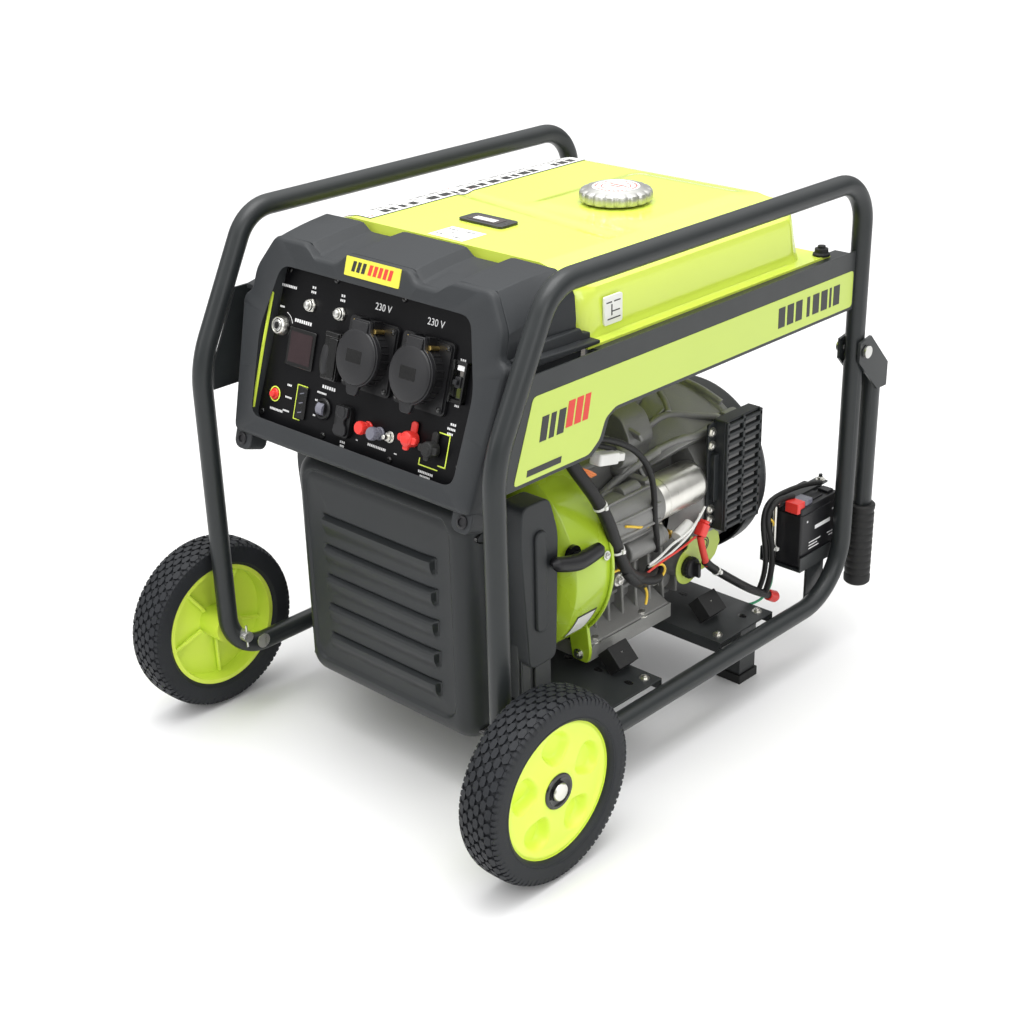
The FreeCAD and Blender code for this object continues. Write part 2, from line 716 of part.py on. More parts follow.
def console_housing():
    """Moulded bezel that leans back, and the hood behind it up to the tank."""
    half = [("bezel_low_x", "bezel_low_s"), ("bezel_mid_x", "bezel_mid_s"),
            ("bezel_mid_x - 14", "bezel_neck_s"), ("bezel_high_x", "bezel_high_s")]
    face = padded("bezel_face", mirrored(half), "bezel_deep + bezel_proud",
                  ("0", "0", "0 - bezel_deep"), UPRIGHT)
    window = padded("bezel_window", panel_outline("0"), "bezel_deep + bezel_proud + 2",
                    ("0", "0", "0 - bezel_deep - 1"), UPRIGHT)
    bezel = on_panel(cut("bezel", face, window))
    crown = padded("hood_crown", [("-262", "704"), ("-262", "711"), ("hood_rear", "717"),
                                  ("hood_rear", "712")], "2 * hood_half",
                   ("0 - hood_half", "0", "0"), SIDE_ON)
    cheeks = []
    for word, side in SIDES:
        start = "hood_half - 4" if side > 0 else "0 - hood_half"
        cheeks.append(padded("hood_cheek_" + word,
                             [("-318", "500"), ("hood_rear - 45", "560"), ("hood_rear", "630"),
                              ("hood_rear", "714"), ("-262", "708")],
                             "4", (start, "0", "0"), SIDE_ON))
    return fuse("console_shape", bezel, crown, *cheeks)


def outlet(letter):
    """Flanged main outlet with a well for the plug."""
    x = "outlet_" + letter
    flange = block("outlet_flange_" + letter,
                   (x + " - outlet_half", "outlet_s - outlet_half", "0"),
                   (x + " + outlet_half", "outlet_s + outlet_half", "6"))
    barrel = rod("outlet_barrel_" + letter, "outlet_rad", (x, "outlet_s", "-30"), "50")
    well = rod("outlet_well_" + letter, "well_rad", (x, "outlet_s", "-24"), "60")
    return cut("outlet_" + letter + "_shape", fuse("outlet_solid_" + letter, flange, barrel), well)


def outlet_lid(letter):
    """Hinged splash lid with a lifting tab."""
    x = "outlet_" + letter
    disc = rod("lid_disc_" + letter, "lid_rad", (x, "outlet_s - 2", "lid_low"),
               "lid_high - lid_low")
    ear = block("lid_ear_" + letter, (x + " - 12", "outlet_s + 20", "lid_low"),
                (x + " + 12", "hinge_s + 4", "lid_high - 3"))
    tab = block("lid_tab_" + letter, (x + " - 12", "outlet_s - 48", "lid_low + 2"),
                (x + " + 12", "outlet_s - 30", "lid_high - 2"))
    return on_panel(fuse("lid_shape_" + letter, disc, ear, tab))


def outlet_bodies():
    """Two main outlets, the small outlet and the low-voltage outlet."""
    small = block("small_outlet", ("small_x - 15", "small_s - 31", "0"),
                  ("small_x + 15", "small_s + 31", "8"))
    direct = block("direct_outlet", ("direct_x - 14", "direct_s - 20", "0"),
                   ("direct_x + 14", "direct_s + 20", "6"))
    return on_panel(group("outlet_group", outlet("a"), outlet("b"), small, direct))


def panel_hardware():
    """Plated pieces: key barrel, trip button collars, earth stud and panel screws."""
    barrel = fuse("key_barrel_body", rod("key_ring", "12", ("key_x", "key_s", "0"), "6"),
                  rod("key_collar", "10.5", ("key_x", "key_s", "0"), "11"))
    solids = [cut("key_barrel", barrel, rod("key_bore", "8", ("key_x", "key_s", "-1"), "13"))]
    for trip in ("trip_left", "trip_right"):
        ring = rod(trip + "_collar", "8", (trip + "_x", trip + "_s", "0"), "7")
        hole = rod(trip + "_hole", "5.05", (trip + "_x", trip + "_s", "-1"), "10")
        solids.append(cut(trip + "_ring", ring, hole))
    solids.append(fuse("earth_nut", rod("earth_hex", "7", ("earth_x", "earth_s", "0"), "5"),
                       rod("earth_stud", "3", ("earth_x", "earth_s", "0"), "13")))
    spots = [(-171, 226), (-80, 228), (45, 228), (168, 226), (-62, 31), (64, 31), (180, 52),
             (-185, 34)]
    for n, (x, s) in enumerate(spots):
        solids.append(rod("panel_screw_%d" % n, "4.5", (str(x), str(s), "0"), "2.5"))
    return on_panel(group("panel_hardware_shape", *solids))


def push_button(name, control, radius, low, high):
    return on_panel(group(name + "_shape", rod(name + "_stem", radius,
                                               (control + "_x", control + "_s", low),
                                               "%s - (%s)" % (high, low))))


def panel_displays():
    screen = block("display_body", ("display_x - 26", "display_s - 25", "0"),
                   ("display_x + 26", "display_s + 25", "4"))
    lamps = block("lamp_body", ("lamps_x - 9", "lamps_s - 21", "0"),
                  ("lamps_x + 9", "lamps_s + 21", "4"))
    return on_panel(group("display_shape", screen, lamps))


def ignition_key():
    """Lock core that the key turns, with its keyway."""
    core = rod("lock_core", "7.7", ("key_x", "key_s", "0.2"), "12")
    keyway = block("lock_keyway", ("key_x - 1.1", "key_s - 5", "4"),
                   ("key_x + 1.1", "key_s + 5", "14"))
    return on_panel(cut("lock_shape", core, keyway))


def binding_post(name, control):
    skirt = rod(name + "_skirt", "8.5", (control + "_x", control + "_s", "0.4"), "8")
    neck = cone(name + "_neck", "7.5", "6", (control + "_x", control + "_s", "8.3"), "10")
    return on_panel(fuse(name + "_shape", skirt, neck))


def link_cover(name, control):
    """Rubber cap over a parallel port, with a pull tab."""
    dome = rod(name + "_dome", "10", (control + "_x", control + "_s", "1"), "17")
    strap = block(name + "_strap", (control + "_x - 5", control + "_s", "1"),
                  (control + "_x + 5", control + "_s + 20", "5"))
    tab = block(name + "_tab", (control + "_x - 16", control + "_s - 5", "10"),
                (control + "_x + 16", control + "_s + 5", "15"))
    return on_panel(fuse(name + "_shape", dome, strap, tab))


def control_panel():
    plate = padded("panel_plate", panel_outline("0.3"), "3", ("0", "0", "-3.3"), UPRIGHT)
    holes = [rod("panel_hole_" + letter, "outlet_rad + 0.2", ("outlet_" + letter, "outlet_s", "-9"),
                 "18") for letter in "ab"]
    holes += [rod("panel_hole_" + trip, "5.05", (trip + "_x", trip + "_s", "-9"), "18")
              for trip in ("trip_left", "trip_right", "reset")]
    holes.append(block("rocker_slot", ("economy_x - 6.5", "economy_s - 9.6", "-9"),
                       ("economy_x + 6.5", "economy_s + 9.6", "9")))
    holes.append(block("panel_slot", ("breaker_x - 8", "breaker_s - 20", "-9"),
                       ("breaker_x + 8", "breaker_s + 20", "9")))
    return on_panel(cut("panel_shape", plate, *holes))


def build_console():
    node("console_housing", console_housing())
    node("control_panel", control_panel())
    node("panel_hardware", panel_hardware())
    node("ignition_key", ignition_key())
    node("breaker_button_left", push_button("trip_button_left", "trip_left", "5", "-8", "12"))
    node("breaker_button_right", push_button("trip_button_right", "trip_right", "5", "-8", "12"))
    node("panel_displays", panel_displays())
    node("outlet_bodies", outlet_bodies())
    node("outlet_lid_left", outlet_lid("a"))
    node("outlet_lid_right", outlet_lid("b"))
    node("small_outlet_lid", on_panel(group("small_lid_shape", block(
        "small_lid", ("small_x - 14", "small_s - 30", "8.3"),
        ("small_x + 14", "small_s + 31", "14")))))
    node("reset_button", push_button("reset_stem", "reset", "5", "-9", "7"))
    rocker = rod("rocker_drum", "9", ("economy_x - 6", "economy_s", "1.5"), "12", "x")
    node("eco_switch", on_panel(group("rocker_shape", rocker)))
    node("dc_outlet_cover", on_panel(group("direct_cover_shape", block(
        "direct_cover", ("direct_x - 12", "direct_s - 18", "6.3"),
        ("direct_x + 12", "direct_s + 19", "11")))))
    node("terminal_red", binding_post("terminal_red_post", "post_red"))
    node("terminal_black", binding_post("terminal_black_post", "post_black"))
    node("parallel_cover_red", link_cover("link_red_cover", "link_red"))
    node("parallel_cover_black", link_cover("link_black_cover", "link_black"))
    lever = block("breaker_lever", ("breaker_x - 5", "breaker_s - 7", "-6"),
                  ("breaker_x + 5", "breaker_s + 7", "9"))
    node("main_breaker_lever", on_panel(group("breaker_lever_shape", lever)))


# ---------------------------------------------------------------------------------------------
# Inverter and lower cover
# ---------------------------------------------------------------------------------------------
def upright_front_edge(edge, front, half):
    middle = edge.CenterOfMass
    vertical = abs(edge.tangentAt(edge.FirstParameter).z) > 0.99
    return vertical and abs(middle.y - front) < 1 and abs(abs(middle.x) - half) < 1


def lower_cover():
    """Moulded cover, open at the rear, with five louvre ribs on its front."""
    front = size("cover_front")
    half = size("cover_x")
    wall = size("cover_wall")
    outer = block("cover_outer", ("0 - cover_x", "cover_front", "cover_low"),
                  ("cover_x", "cover_rear", "cover_high"))
    outer_soft = rounded("cover_outer_soft", outer, size("cover_round"),
                         lambda edge: upright_front_edge(edge, front, half))
    inner = block("cover_inner", ("cover_wall - cover_x", "cover_front + cover_wall",
                                  "cover_low + cover_wall"),
                  ("cover_x - cover_wall", "cover_rear + 10", "cover_high - cover_wall"))
    inner_soft = rounded("cover_inner_soft", inner, size("cover_round") - wall,
                         lambda edge: upright_front_edge(edge, front + wall, half - wall))
    shell = cut("cover_shell", outer_soft, inner_soft)
    ribs = []
    for n in range(5):
        height = "rib_first + %d * rib_pitch" % n
        ribs.append(block("cover_rib_%d" % n, ("-104", "cover_front - 4", height + " - 4"),
                          ("104", "cover_front + 1", height + " + 4")))
    return fuse("cover_shape", shell, *ribs)


def inverter_module():
    """Finned inverter behind the lower cover, and its two slotted brackets."""
    case = block("inverter_case", ("-148", "-287", "125"), ("148", "-245", "405"))
    fins = []
    for n in range(9):
        x = "-140 + %d * 34" % n
        fins.append(block("inverter_fin_%d" % n, (x, "-246", "130"), (x + " + 4", "-222", "400")))
    solids = [fuse("inverter_body", case, *fins)]
    for word, side in SIDES:
        start = "196" if side > 0 else "-200"
        plate = block("bracket_plate_" + word, (start, "-237", "plate_top"),
                      (start + " + 4", "-182", "405"))
        slots = [block("bracket_slot_%s_%d" % (word, n), (start + " - 2", "-222", low),
                       (start + " + 6", "-213", high))
                 for n, (low, high) in enumerate((("150", "215"), ("240", "360")))]
        solids.append(cut("bracket_" + word, plate, *slots))
    return group("inverter_shape", *solids)


# ---------------------------------------------------------------------------------------------
# Engine and alternator, about the crankshaft axis
# ---------------------------------------------------------------------------------------------
CRANK_LINE = ("crank_x", "0", "crank_z")
BARREL_TURN = Rotation(Vector(0, 1, 0), size("barrel_tilt"))


def on_barrel(item):
    """Z runs along the cylinder, away from the crankshaft."""
    return put(item, ("crank_x", "0", "crank_z"), BARREL_TURN)


def crank_rod(name, radius, start, end):
    return rod(name, radius, ("crank_x", start, "crank_z"), "(%s) - (%s)" % (end, start), "y")


def crankcase():
    """Cast case with its foot, side cover, dipstick boss and cylinder seat."""
    pieces = [
        block("case_foot", ("-34", "shroud_rear + 0.5", "case_low"), ("174", "104", "case_low + 22")),
        block("case_body", ("case_left", "case_front", "case_low + 10"),
              ("case_right", "case_rear", "case_top")),
        crank_rod("case_cover", "72", "case_rear - 8", "drum_front - 0.3"),
        rod("dipstick_boss", "14", ("120", "dipstick_y", "dipstick_z"), "58", "x"),
        on_barrel(group("seat_frame", rod("cylinder_seat", "52", ("0", "10", "60"), "65"))),
    ]
    hollow = crank_rod("case_hollow", "60", "-45", "70")
    bore = crank_rod("case_bore", "crank_rad + run_gap", "-90", "drum_front + 5")
    holes = []
    for word, x in (("left", "-22"), ("right", "162")):
        for end, y in (("front", "-64"), ("rear", "90")):
            holes.append(rod("foot_hole_%s_%s" % (word, end), "5.5", (x, y, "case_low - 1"), "24"))
    return cut("case_shape", fuse("case_solid", *pieces), hollow, bore, *holes)


def cylinder_block():
    """Finned barrel, head and rocker cover, leaning away from the starter."""
    pieces = [rod("barrel_core", "46", ("0", "10", "125.4"), "85")]
    for n in range(8):
        low = 129 + 10 * n
        pieces.append(block("barrel_fin_%d" % n, ("-62", "-56", str(low)),
                            ("62", "76", "%d" % (low + 3))))
    pieces.append(block("head_block", ("-58", "-52", "208"), ("58", "72", "244")))
    pieces.append(block("rocker_cover", ("-44", "-40", "243"), ("44", "60", "268")))
    return on_barrel(group("cylinder_frame", fuse("cylinder_shape", *pieces)))


def fan_shroud():
    """Pressed cover round the flywheel, closed in front by the recoil starter."""
    wall = "2.5"
    profile = [("shroud_rad - %s" % wall, "shroud_rear"), ("shroud_rad", "shroud_rear"),
               ("shroud_rad", "shroud_rear - 70"), ("shroud_rad - 20", "shroud_face + 4"),
               ("60", "shroud_face"), ("0", "shroud_face"), ("0", "shroud_face + 3"),
               ("59", "shroud_face + 3"), ("shroud_rad - 21", "shroud_face + 6.7"),
               ("shroud_rad - %s" % wall, "shroud_rear - 68.5")]
    return turned("shroud_body", profile, CRANK_LINE)


def crankshaft():
    """Crankshaft, flywheel and rotor, which turn as one piece."""
    pieces = [
        crank_rod("shaft", "crank_rad", "-155", "262"),
        crank_rod("flywheel", "104", "-138", "-114"),
        crank_rod("web_front", "54", "-30", "-8"),
        crank_rod("web_rear", "54", "28", "50"),
        rod("crank_pin", "17", ("crank_x + 30", "-9", "crank_z"), "38", "y"),
        crank_rod("rotor", "88", "170", "234"),
        crank_rod("cooling_fan", "112", "262", "268"),
        crank_rod("fan_hub", "24", "255", "288"),
    ]
    return fuse("crank_shape", *pieces)


def alternator_housing():
    """Cast drum with ribs, and the stator ring pressed inside it."""
    drum = [("drum_rad - 8", "drum_front + 6"), ("30", "drum_front + 6"), ("30", "drum_front"),
            ("drum_rad", "drum_front"), ("drum_rad", "drum_rear"), ("drum_rad - 8", "drum_rear")]
    pieces = [turned("drum_body", drum, CRANK_LINE)]
    for n in range(9):
        angle = 20 + 40 * n
        rib = block("drum_rib_%d" % n, ("drum_rad - 4", "drum_front", "-3"),
                    ("drum_rad + 7", "drum_rear - 4", "3"))
        pieces.append(put(group("drum_rib_frame_%d" % n, rib), CRANK_LINE,
                          Rotation(Vector(0, 1, 0), angle)))
    stator = turned("stator_ring", [("90", "168"), ("drum_rad - 8.1", "168"),
                                    ("drum_rad - 8.1", "236"), ("90", "236")], CRANK_LINE)
    return group("drum_shape", fuse("drum_casting", *pieces), stator)


def rear_fan_cover():
    profile = [("fan_cover_rad - 3", "drum_rear + 0.2"), ("fan_cover_rad", "drum_rear + 0.2"),
               ("fan_cover_rad", "fan_cover_rear - 10"), ("fan_cover_rad - 12", "fan_cover_rear"),
               ("0", "fan_cover_rear"), ("0", "fan_cover_rear - 3"),
               ("fan_cover_rad - 13", "fan_cover_rear - 3"),
               ("fan_cover_rad - 3", "fan_cover_rear - 11")]
    return turned("fan_cover_body", profile, CRANK_LINE)


def starter_motor():
    nose = rod("starter_nose", "35", ("starter_x", "-66", "starter_z"), "116", "y")
    motor = rod("starter_can", "32", ("starter_x", "40", "starter_z"), "112", "y")
    relay = rod("starter_relay", "17", ("starter_x + 8", "-10", "starter_z - 54"), "82", "y")
    link = block("starter_link", ("starter_x - 4", "-8", "starter_z - 50"),
                 ("starter_x + 14", "40", "starter_z - 20"))
    return fuse("starter_shape", nose, motor, relay, link)


def rectifier_box():
    box = block("grille_box", ("grille_in", "170", "grille_low"),
                ("grille_out", "254", "grille_high"))
    flange = block("grille_flange", ("grille_in", "154", "grille_low + 4"),
                   ("grille_in + 3", "171", "grille_high - 4"))
    return fuse("grille_shape", box, flange)


def dipstick():
    cap = rod("dipstick_cap", "15", ("178.3", "dipstick_y", "dipstick_z"), "15", "x")
    bow = block("dipstick_bow", ("192", "dipstick_y - 3", "dipstick_z - 12"),
                ("201", "dipstick_y + 3", "dipstick_z + 12"))
    return fuse("dipstick_shape", cap, bow)


def muffler():
    """Silencer box behind the cylinder, and the pipe from the head."""
    can = block("muffler_can", ("-242", "96", "318"), ("-152", "290", "438"))
    soft = rounded("muffler_soft", can, 22,
                   lambda edge: abs(edge.tangentAt(edge.FirstParameter).y) > 0.99)
    pipe = rod("exhaust_pipe", "15", ("-176", "74", "400"), "24", "y")
    tail = rod("tail_pipe", "11", ("-200", "288", "345"), "30", "y")
    return fuse("muffler_shape", soft, pipe, tail)


def intake():
    """Carburettor in front of the head, and the air cleaner above it."""
    carburettor = block("carburettor", ("-170", "-112", "374"), ("-122", "-58", "440"))
    canister = block("air_cleaner", ("-232", "-212", "409"), ("-92", "-120", "505"))
    soft = rounded("air_cleaner_soft", canister, 18,
                   lambda edge: abs(edge.tangentAt(edge.FirstParameter).z) > 0.99)
    elbow = rod("intake_elbow", "13", ("-146", "-119.7", "424"), "9", "y")
    return group("intake_shape", fuse("carburettor_shape", carburettor, elbow), soft)


def choke_lever():
    arm = block("choke_arm", ("-175.3", "-92", "378"), ("-170.3", "-84", "426"))
    knob = rod("choke_knob", "7", ("-187", "-88", "424"), "16.7", "x")
    return fuse("choke_shape", arm, knob)


def build_power():
    node("lower_cover", lower_cover())
    node("inverter_module", inverter_module())
    node("crankcase", crankcase())
    node("cylinder_block", cylinder_block())
    node("fan_shroud", fan_shroud())
    grip = rod("pull_grip", "10.5", ("227", "-192", "334"), "86", "y")
    stem = rod("pull_stem", "5", ("213", "-149", "334"), "14", "x")
    node("recoil_handle", fuse("pull_shape", grip, stem))
    node("crankshaft", crankshaft())
    node("alternator_housing", alternator_housing())
    node("rear_fan_cover", rear_fan_cover())
    node("starter_motor", starter_motor())
    node("rectifier_box", rectifier_box())
    node("dipstick", dipstick())
    node("muffler", muffler())
    node("intake", intake())
    node("choke_lever", choke_lever())


# ---------------------------------------------------------------------------------------------
# Battery and wiring
# ---------------------------------------------------------------------------------------------
def battery():
    case = block("battery_case", ("battery_in", "battery_front", "battery_low"),
                 ("battery_out", "battery_rear", "battery_top"))
    posts = [block("battery_post_" + end, ("battery_in + 40", y, "battery_top - 1"),
                   ("battery_in + 56", y + " + 12", "battery_top + 8"))
             for end, y in (("front", "battery_front + 8"), ("rear", "battery_rear - 20"))]
    return fuse("battery_shape", case, *posts)


def battery_mount():
    """Tray on a post from the bottom tube, hold-down bar and its two rods."""
    floor = block("tray_floor", ("battery_in - 4", "battery_front - 4", "battery_low - 5"),
                  ("battery_out + 4", "battery_rear + 4", "battery_low - 2"))
    lips = [
        block("tray_lip_in", ("battery_in - 4", "battery_front - 4", "battery_low - 5"),
              ("battery_in - 2", "battery_rear + 4", "battery_low + 18")),
        block("tray_lip_out", ("battery_out + 2", "battery_front - 4", "battery_low - 5"),
              ("battery_out + 4", "battery_rear + 4", "battery_low + 18")),
    ]
    post = block("tray_post", ("battery_out - 2", "334", "loop_low - 4"),
                 ("battery_out + 2", "378", "battery_low - 3"))
    foot = block("tray_foot", ("battery_out - 2", "334", "loop_low - 4"),
                 ("plate_x", "378", "loop_low"))
    tray = fuse("tray", floor, post, foot, *lips)
    bar = block("hold_bar", ("battery_in + 14", "battery_front - 14", "battery_top + 1"),
                ("battery_in + 34", "battery_rear + 14", "battery_top + 4"))
    rods = [rod("hold_rod_" + end, "3", ("battery_in + 24", y, "battery_low - 5"),
                "battery_top - battery_low + 18")
            for end, y in (("front", "battery_front - 9"), ("rear", "battery_rear + 9"))]
    return group("battery_mount_shape", tray, fuse("hold_down", bar, *rods))


def wiring_looms():
    """Engine loom from the console, and the lead from the starter relay to the battery."""
    engine_route = [(186, -170, 512), (190, -152, 480), (198, -124, 440), (210, -96, 398),
                    (220, -72, 352), (217, -44, 306), (206, -18, 262), (196, 10, 238)]
    lead_route = [(196, 84, 262), (208, 108, 242), (215, 136, 206), (213, 168, 166),
                  (204, 206, 140), (190, 246, 128), (172, 282, 146), (166, 300, 190),
                  (166, 306, 226)]
    return group("loom_shape", cord("engine_loom", engine_route, size("loom_rad")),
                 cord("battery_lead", lead_route, size("lead_rad")))


def build_electrics():
    node("battery", battery())
    node("battery_mount", battery_mount())
    node("wiring_looms", wiring_looms())


build_frame()
build_running_gear()
build_fuel()
build_console()
build_power()
build_electrics()
doc.recompute()

# ---------------------------------------------------------------------------------------------
# Checks, then one STEP file for each sub-part
# ---------------------------------------------------------------------------------------------
problems = []
for item in doc.Objects:
    if "Invalid" in item.State or "Error" in item.State:
        problems.append("%s is in state %s" % (item.Name, item.State))
for item in NODES:
    if item.Shape.isNull() or not item.Shape.isValid() or not item.Shape.Solids:
        problems.append(item.Label + " has no valid solid")
if problems:
    raise RuntimeError("; ".join(problems))

os.makedirs("parts", exist_ok=True)
for item in NODES:
    item.Shape.exportStep("parts/%s.step" % item.Label)
    print(item.Label, len(item.Shape.Solids), "solids", round(item.Shape.Volume / 1000), "cm3")
print(len(NODES), "nodes")
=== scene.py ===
import math
import random

import bmesh
import bpy
from mathutils import Matrix, Vector


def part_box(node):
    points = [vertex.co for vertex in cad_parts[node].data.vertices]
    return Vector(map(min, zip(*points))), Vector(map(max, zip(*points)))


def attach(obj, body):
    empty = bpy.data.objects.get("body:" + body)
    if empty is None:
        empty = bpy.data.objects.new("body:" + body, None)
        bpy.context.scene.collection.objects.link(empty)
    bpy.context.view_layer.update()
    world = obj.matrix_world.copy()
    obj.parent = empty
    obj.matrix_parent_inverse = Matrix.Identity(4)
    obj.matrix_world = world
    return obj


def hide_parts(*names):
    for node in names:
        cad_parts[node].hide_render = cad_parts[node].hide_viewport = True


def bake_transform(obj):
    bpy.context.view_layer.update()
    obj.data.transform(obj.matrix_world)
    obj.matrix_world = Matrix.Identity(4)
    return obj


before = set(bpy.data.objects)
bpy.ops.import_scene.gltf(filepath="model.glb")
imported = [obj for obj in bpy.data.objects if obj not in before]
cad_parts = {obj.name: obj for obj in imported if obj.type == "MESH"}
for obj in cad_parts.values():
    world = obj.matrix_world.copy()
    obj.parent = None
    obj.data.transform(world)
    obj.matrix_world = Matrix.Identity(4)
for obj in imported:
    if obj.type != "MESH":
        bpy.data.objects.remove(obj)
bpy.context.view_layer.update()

MM = 0.001
LEFT, RIGHT = -1, 1
SIDES = (("left", LEFT), ("right", RIGHT))


# ---------------------------------------------------------------------------------------------
# Places read from the frame
# ---------------------------------------------------------------------------------------------
def low(node):
    return Vector(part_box(node)[0])


def high(node):
    return Vector(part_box(node)[1])


def middle(node):
    return (low(node) + high(node)) / 2


LEAN = math.radians(17)                       # the console's backward lean
PLATE_FOOT = 22.3 * MM                        # panel plate: lowest point up the slope
PLATE_SKIN = 0.3 * MM                         # panel plate: front face behind the panel's zero
PLATE_BACK = 3.3 * MM
PANEL_Y = low("control_panel").y - PLATE_FOOT * math.sin(LEAN) - PLATE_SKIN * math.cos(LEAN)
PANEL_Z = low("control_panel").z - PLATE_FOOT * math.cos(LEAN) + PLATE_BACK * math.sin(LEAN)
PANEL = Matrix(((1, 0, 0, 0), (0, math.sin(LEAN), -math.cos(LEAN), PANEL_Y),
    (0, math.cos(LEAN), math.sin(LEAN), PANEL_Z), (0, 0, 0, 1)))
CRANK = middle("crankshaft")
CRANK_X, CRANK_Z = CRANK.x, CRANK.z


# ---------------------------------------------------------------------------------------------
# Materials
# ---------------------------------------------------------------------------------------------
def shader(name):
    material = bpy.data.materials.new(name)
    material.use_nodes = True
    nodes = material.node_tree.nodes
    return material, nodes, material.node_tree.links, nodes["Principled BSDF"]


def textured(name, dark, light, rough, bump=0.1, grain=900, mottle=60, metallic=0.0, coat=0.0,
        spread=0.08, wear=None, wear_amount=0.0, distance=0.0001, specular=0.5, stretch=(1, 1, 1)):
    """Two-tone mottled surface with fine grain, varied gloss and, if asked, worn edges."""
    material, nodes, links, bsdf = shader(name)
    where = nodes.new("ShaderNodeTexCoord")
    mapping = nodes.new("ShaderNodeMapping")
    mapping.inputs["Scale"].default_value = stretch
    links.new(where.outputs["Object"], mapping.inputs["Vector"])
    broad = nodes.new("ShaderNodeTexNoise")
    broad.inputs["Scale"].default_value = mottle
    broad.inputs["Detail"].default_value = 6
    links.new(mapping.outputs["Vector"], broad.inputs["Vector"])
    tone = nodes.new("ShaderNodeMix")
    tone.data_type = "RGBA"
    for socket, shade in ((6, dark), (7, light)):
        grey = isinstance(shade, float)
        tone.inputs[socket].default_value = (*((shade,) * 3 if grey else shade), 1)
    links.new(broad.outputs["Fac"], tone.inputs["Factor"])
    colour = tone.outputs[2]
    if wear:
        geometry = nodes.new("ShaderNodeNewGeometry")
        edge = nodes.new("ShaderNodeMapRange")
        edge.inputs["From Min"].default_value = 0.53
        edge.inputs["From Max"].default_value = 0.62
        links.new(geometry.outputs["Pointiness"], edge.inputs["Value"])
        broken = nodes.new("ShaderNodeMath")
        broken.operation = "MULTIPLY"
        links.new(edge.outputs["Result"], broken.inputs[0])
        links.new(broad.outputs["Fac"], broken.inputs[1])
        amount = nodes.new("ShaderNodeMath")
        amount.operation = "MULTIPLY"
        amount.inputs[1].default_value = wear_amount
        links.new(broken.outputs["Value"], amount.inputs[0])
        rubbed = nodes.new("ShaderNodeMix")
        rubbed.data_type = "RGBA"
        rubbed.inputs[7].default_value = (*wear, 1)
        links.new(amount.outputs["Value"], rubbed.inputs["Factor"])
        links.new(colour, rubbed.inputs[6])
        colour = rubbed.outputs[2]
    links.new(colour, bsdf.inputs["Base Color"])
    gloss = nodes.new("ShaderNodeMapRange")
    gloss.inputs["To Min"].default_value = max(rough - spread, 0.02)
    gloss.inputs["To Max"].default_value = min(rough + spread, 1.0)
    links.new(broad.outputs["Fac"], gloss.inputs["Value"])
    links.new(gloss.outputs["Result"], bsdf.inputs["Roughness"])
    fine = nodes.new("ShaderNodeTexNoise")
    fine.inputs["Scale"].default_value = grain
    fine.inputs["Detail"].default_value = 3
    links.new(mapping.outputs["Vector"], fine.inputs["Vector"])
    relief = nodes.new("ShaderNodeBump")
    relief.inputs["Strength"].default_value = bump
    relief.inputs["Distance"].default_value = distance
    links.new(fine.outputs["Fac"], relief.inputs["Height"])
    links.new(relief.outputs["Normal"], bsdf.inputs["Normal"])
    bsdf.inputs["Metallic"].default_value = metallic
    bsdf.inputs["Coat Weight"].default_value = coat
    bsdf.inputs["Specular IOR Level"].default_value = specular
    return material


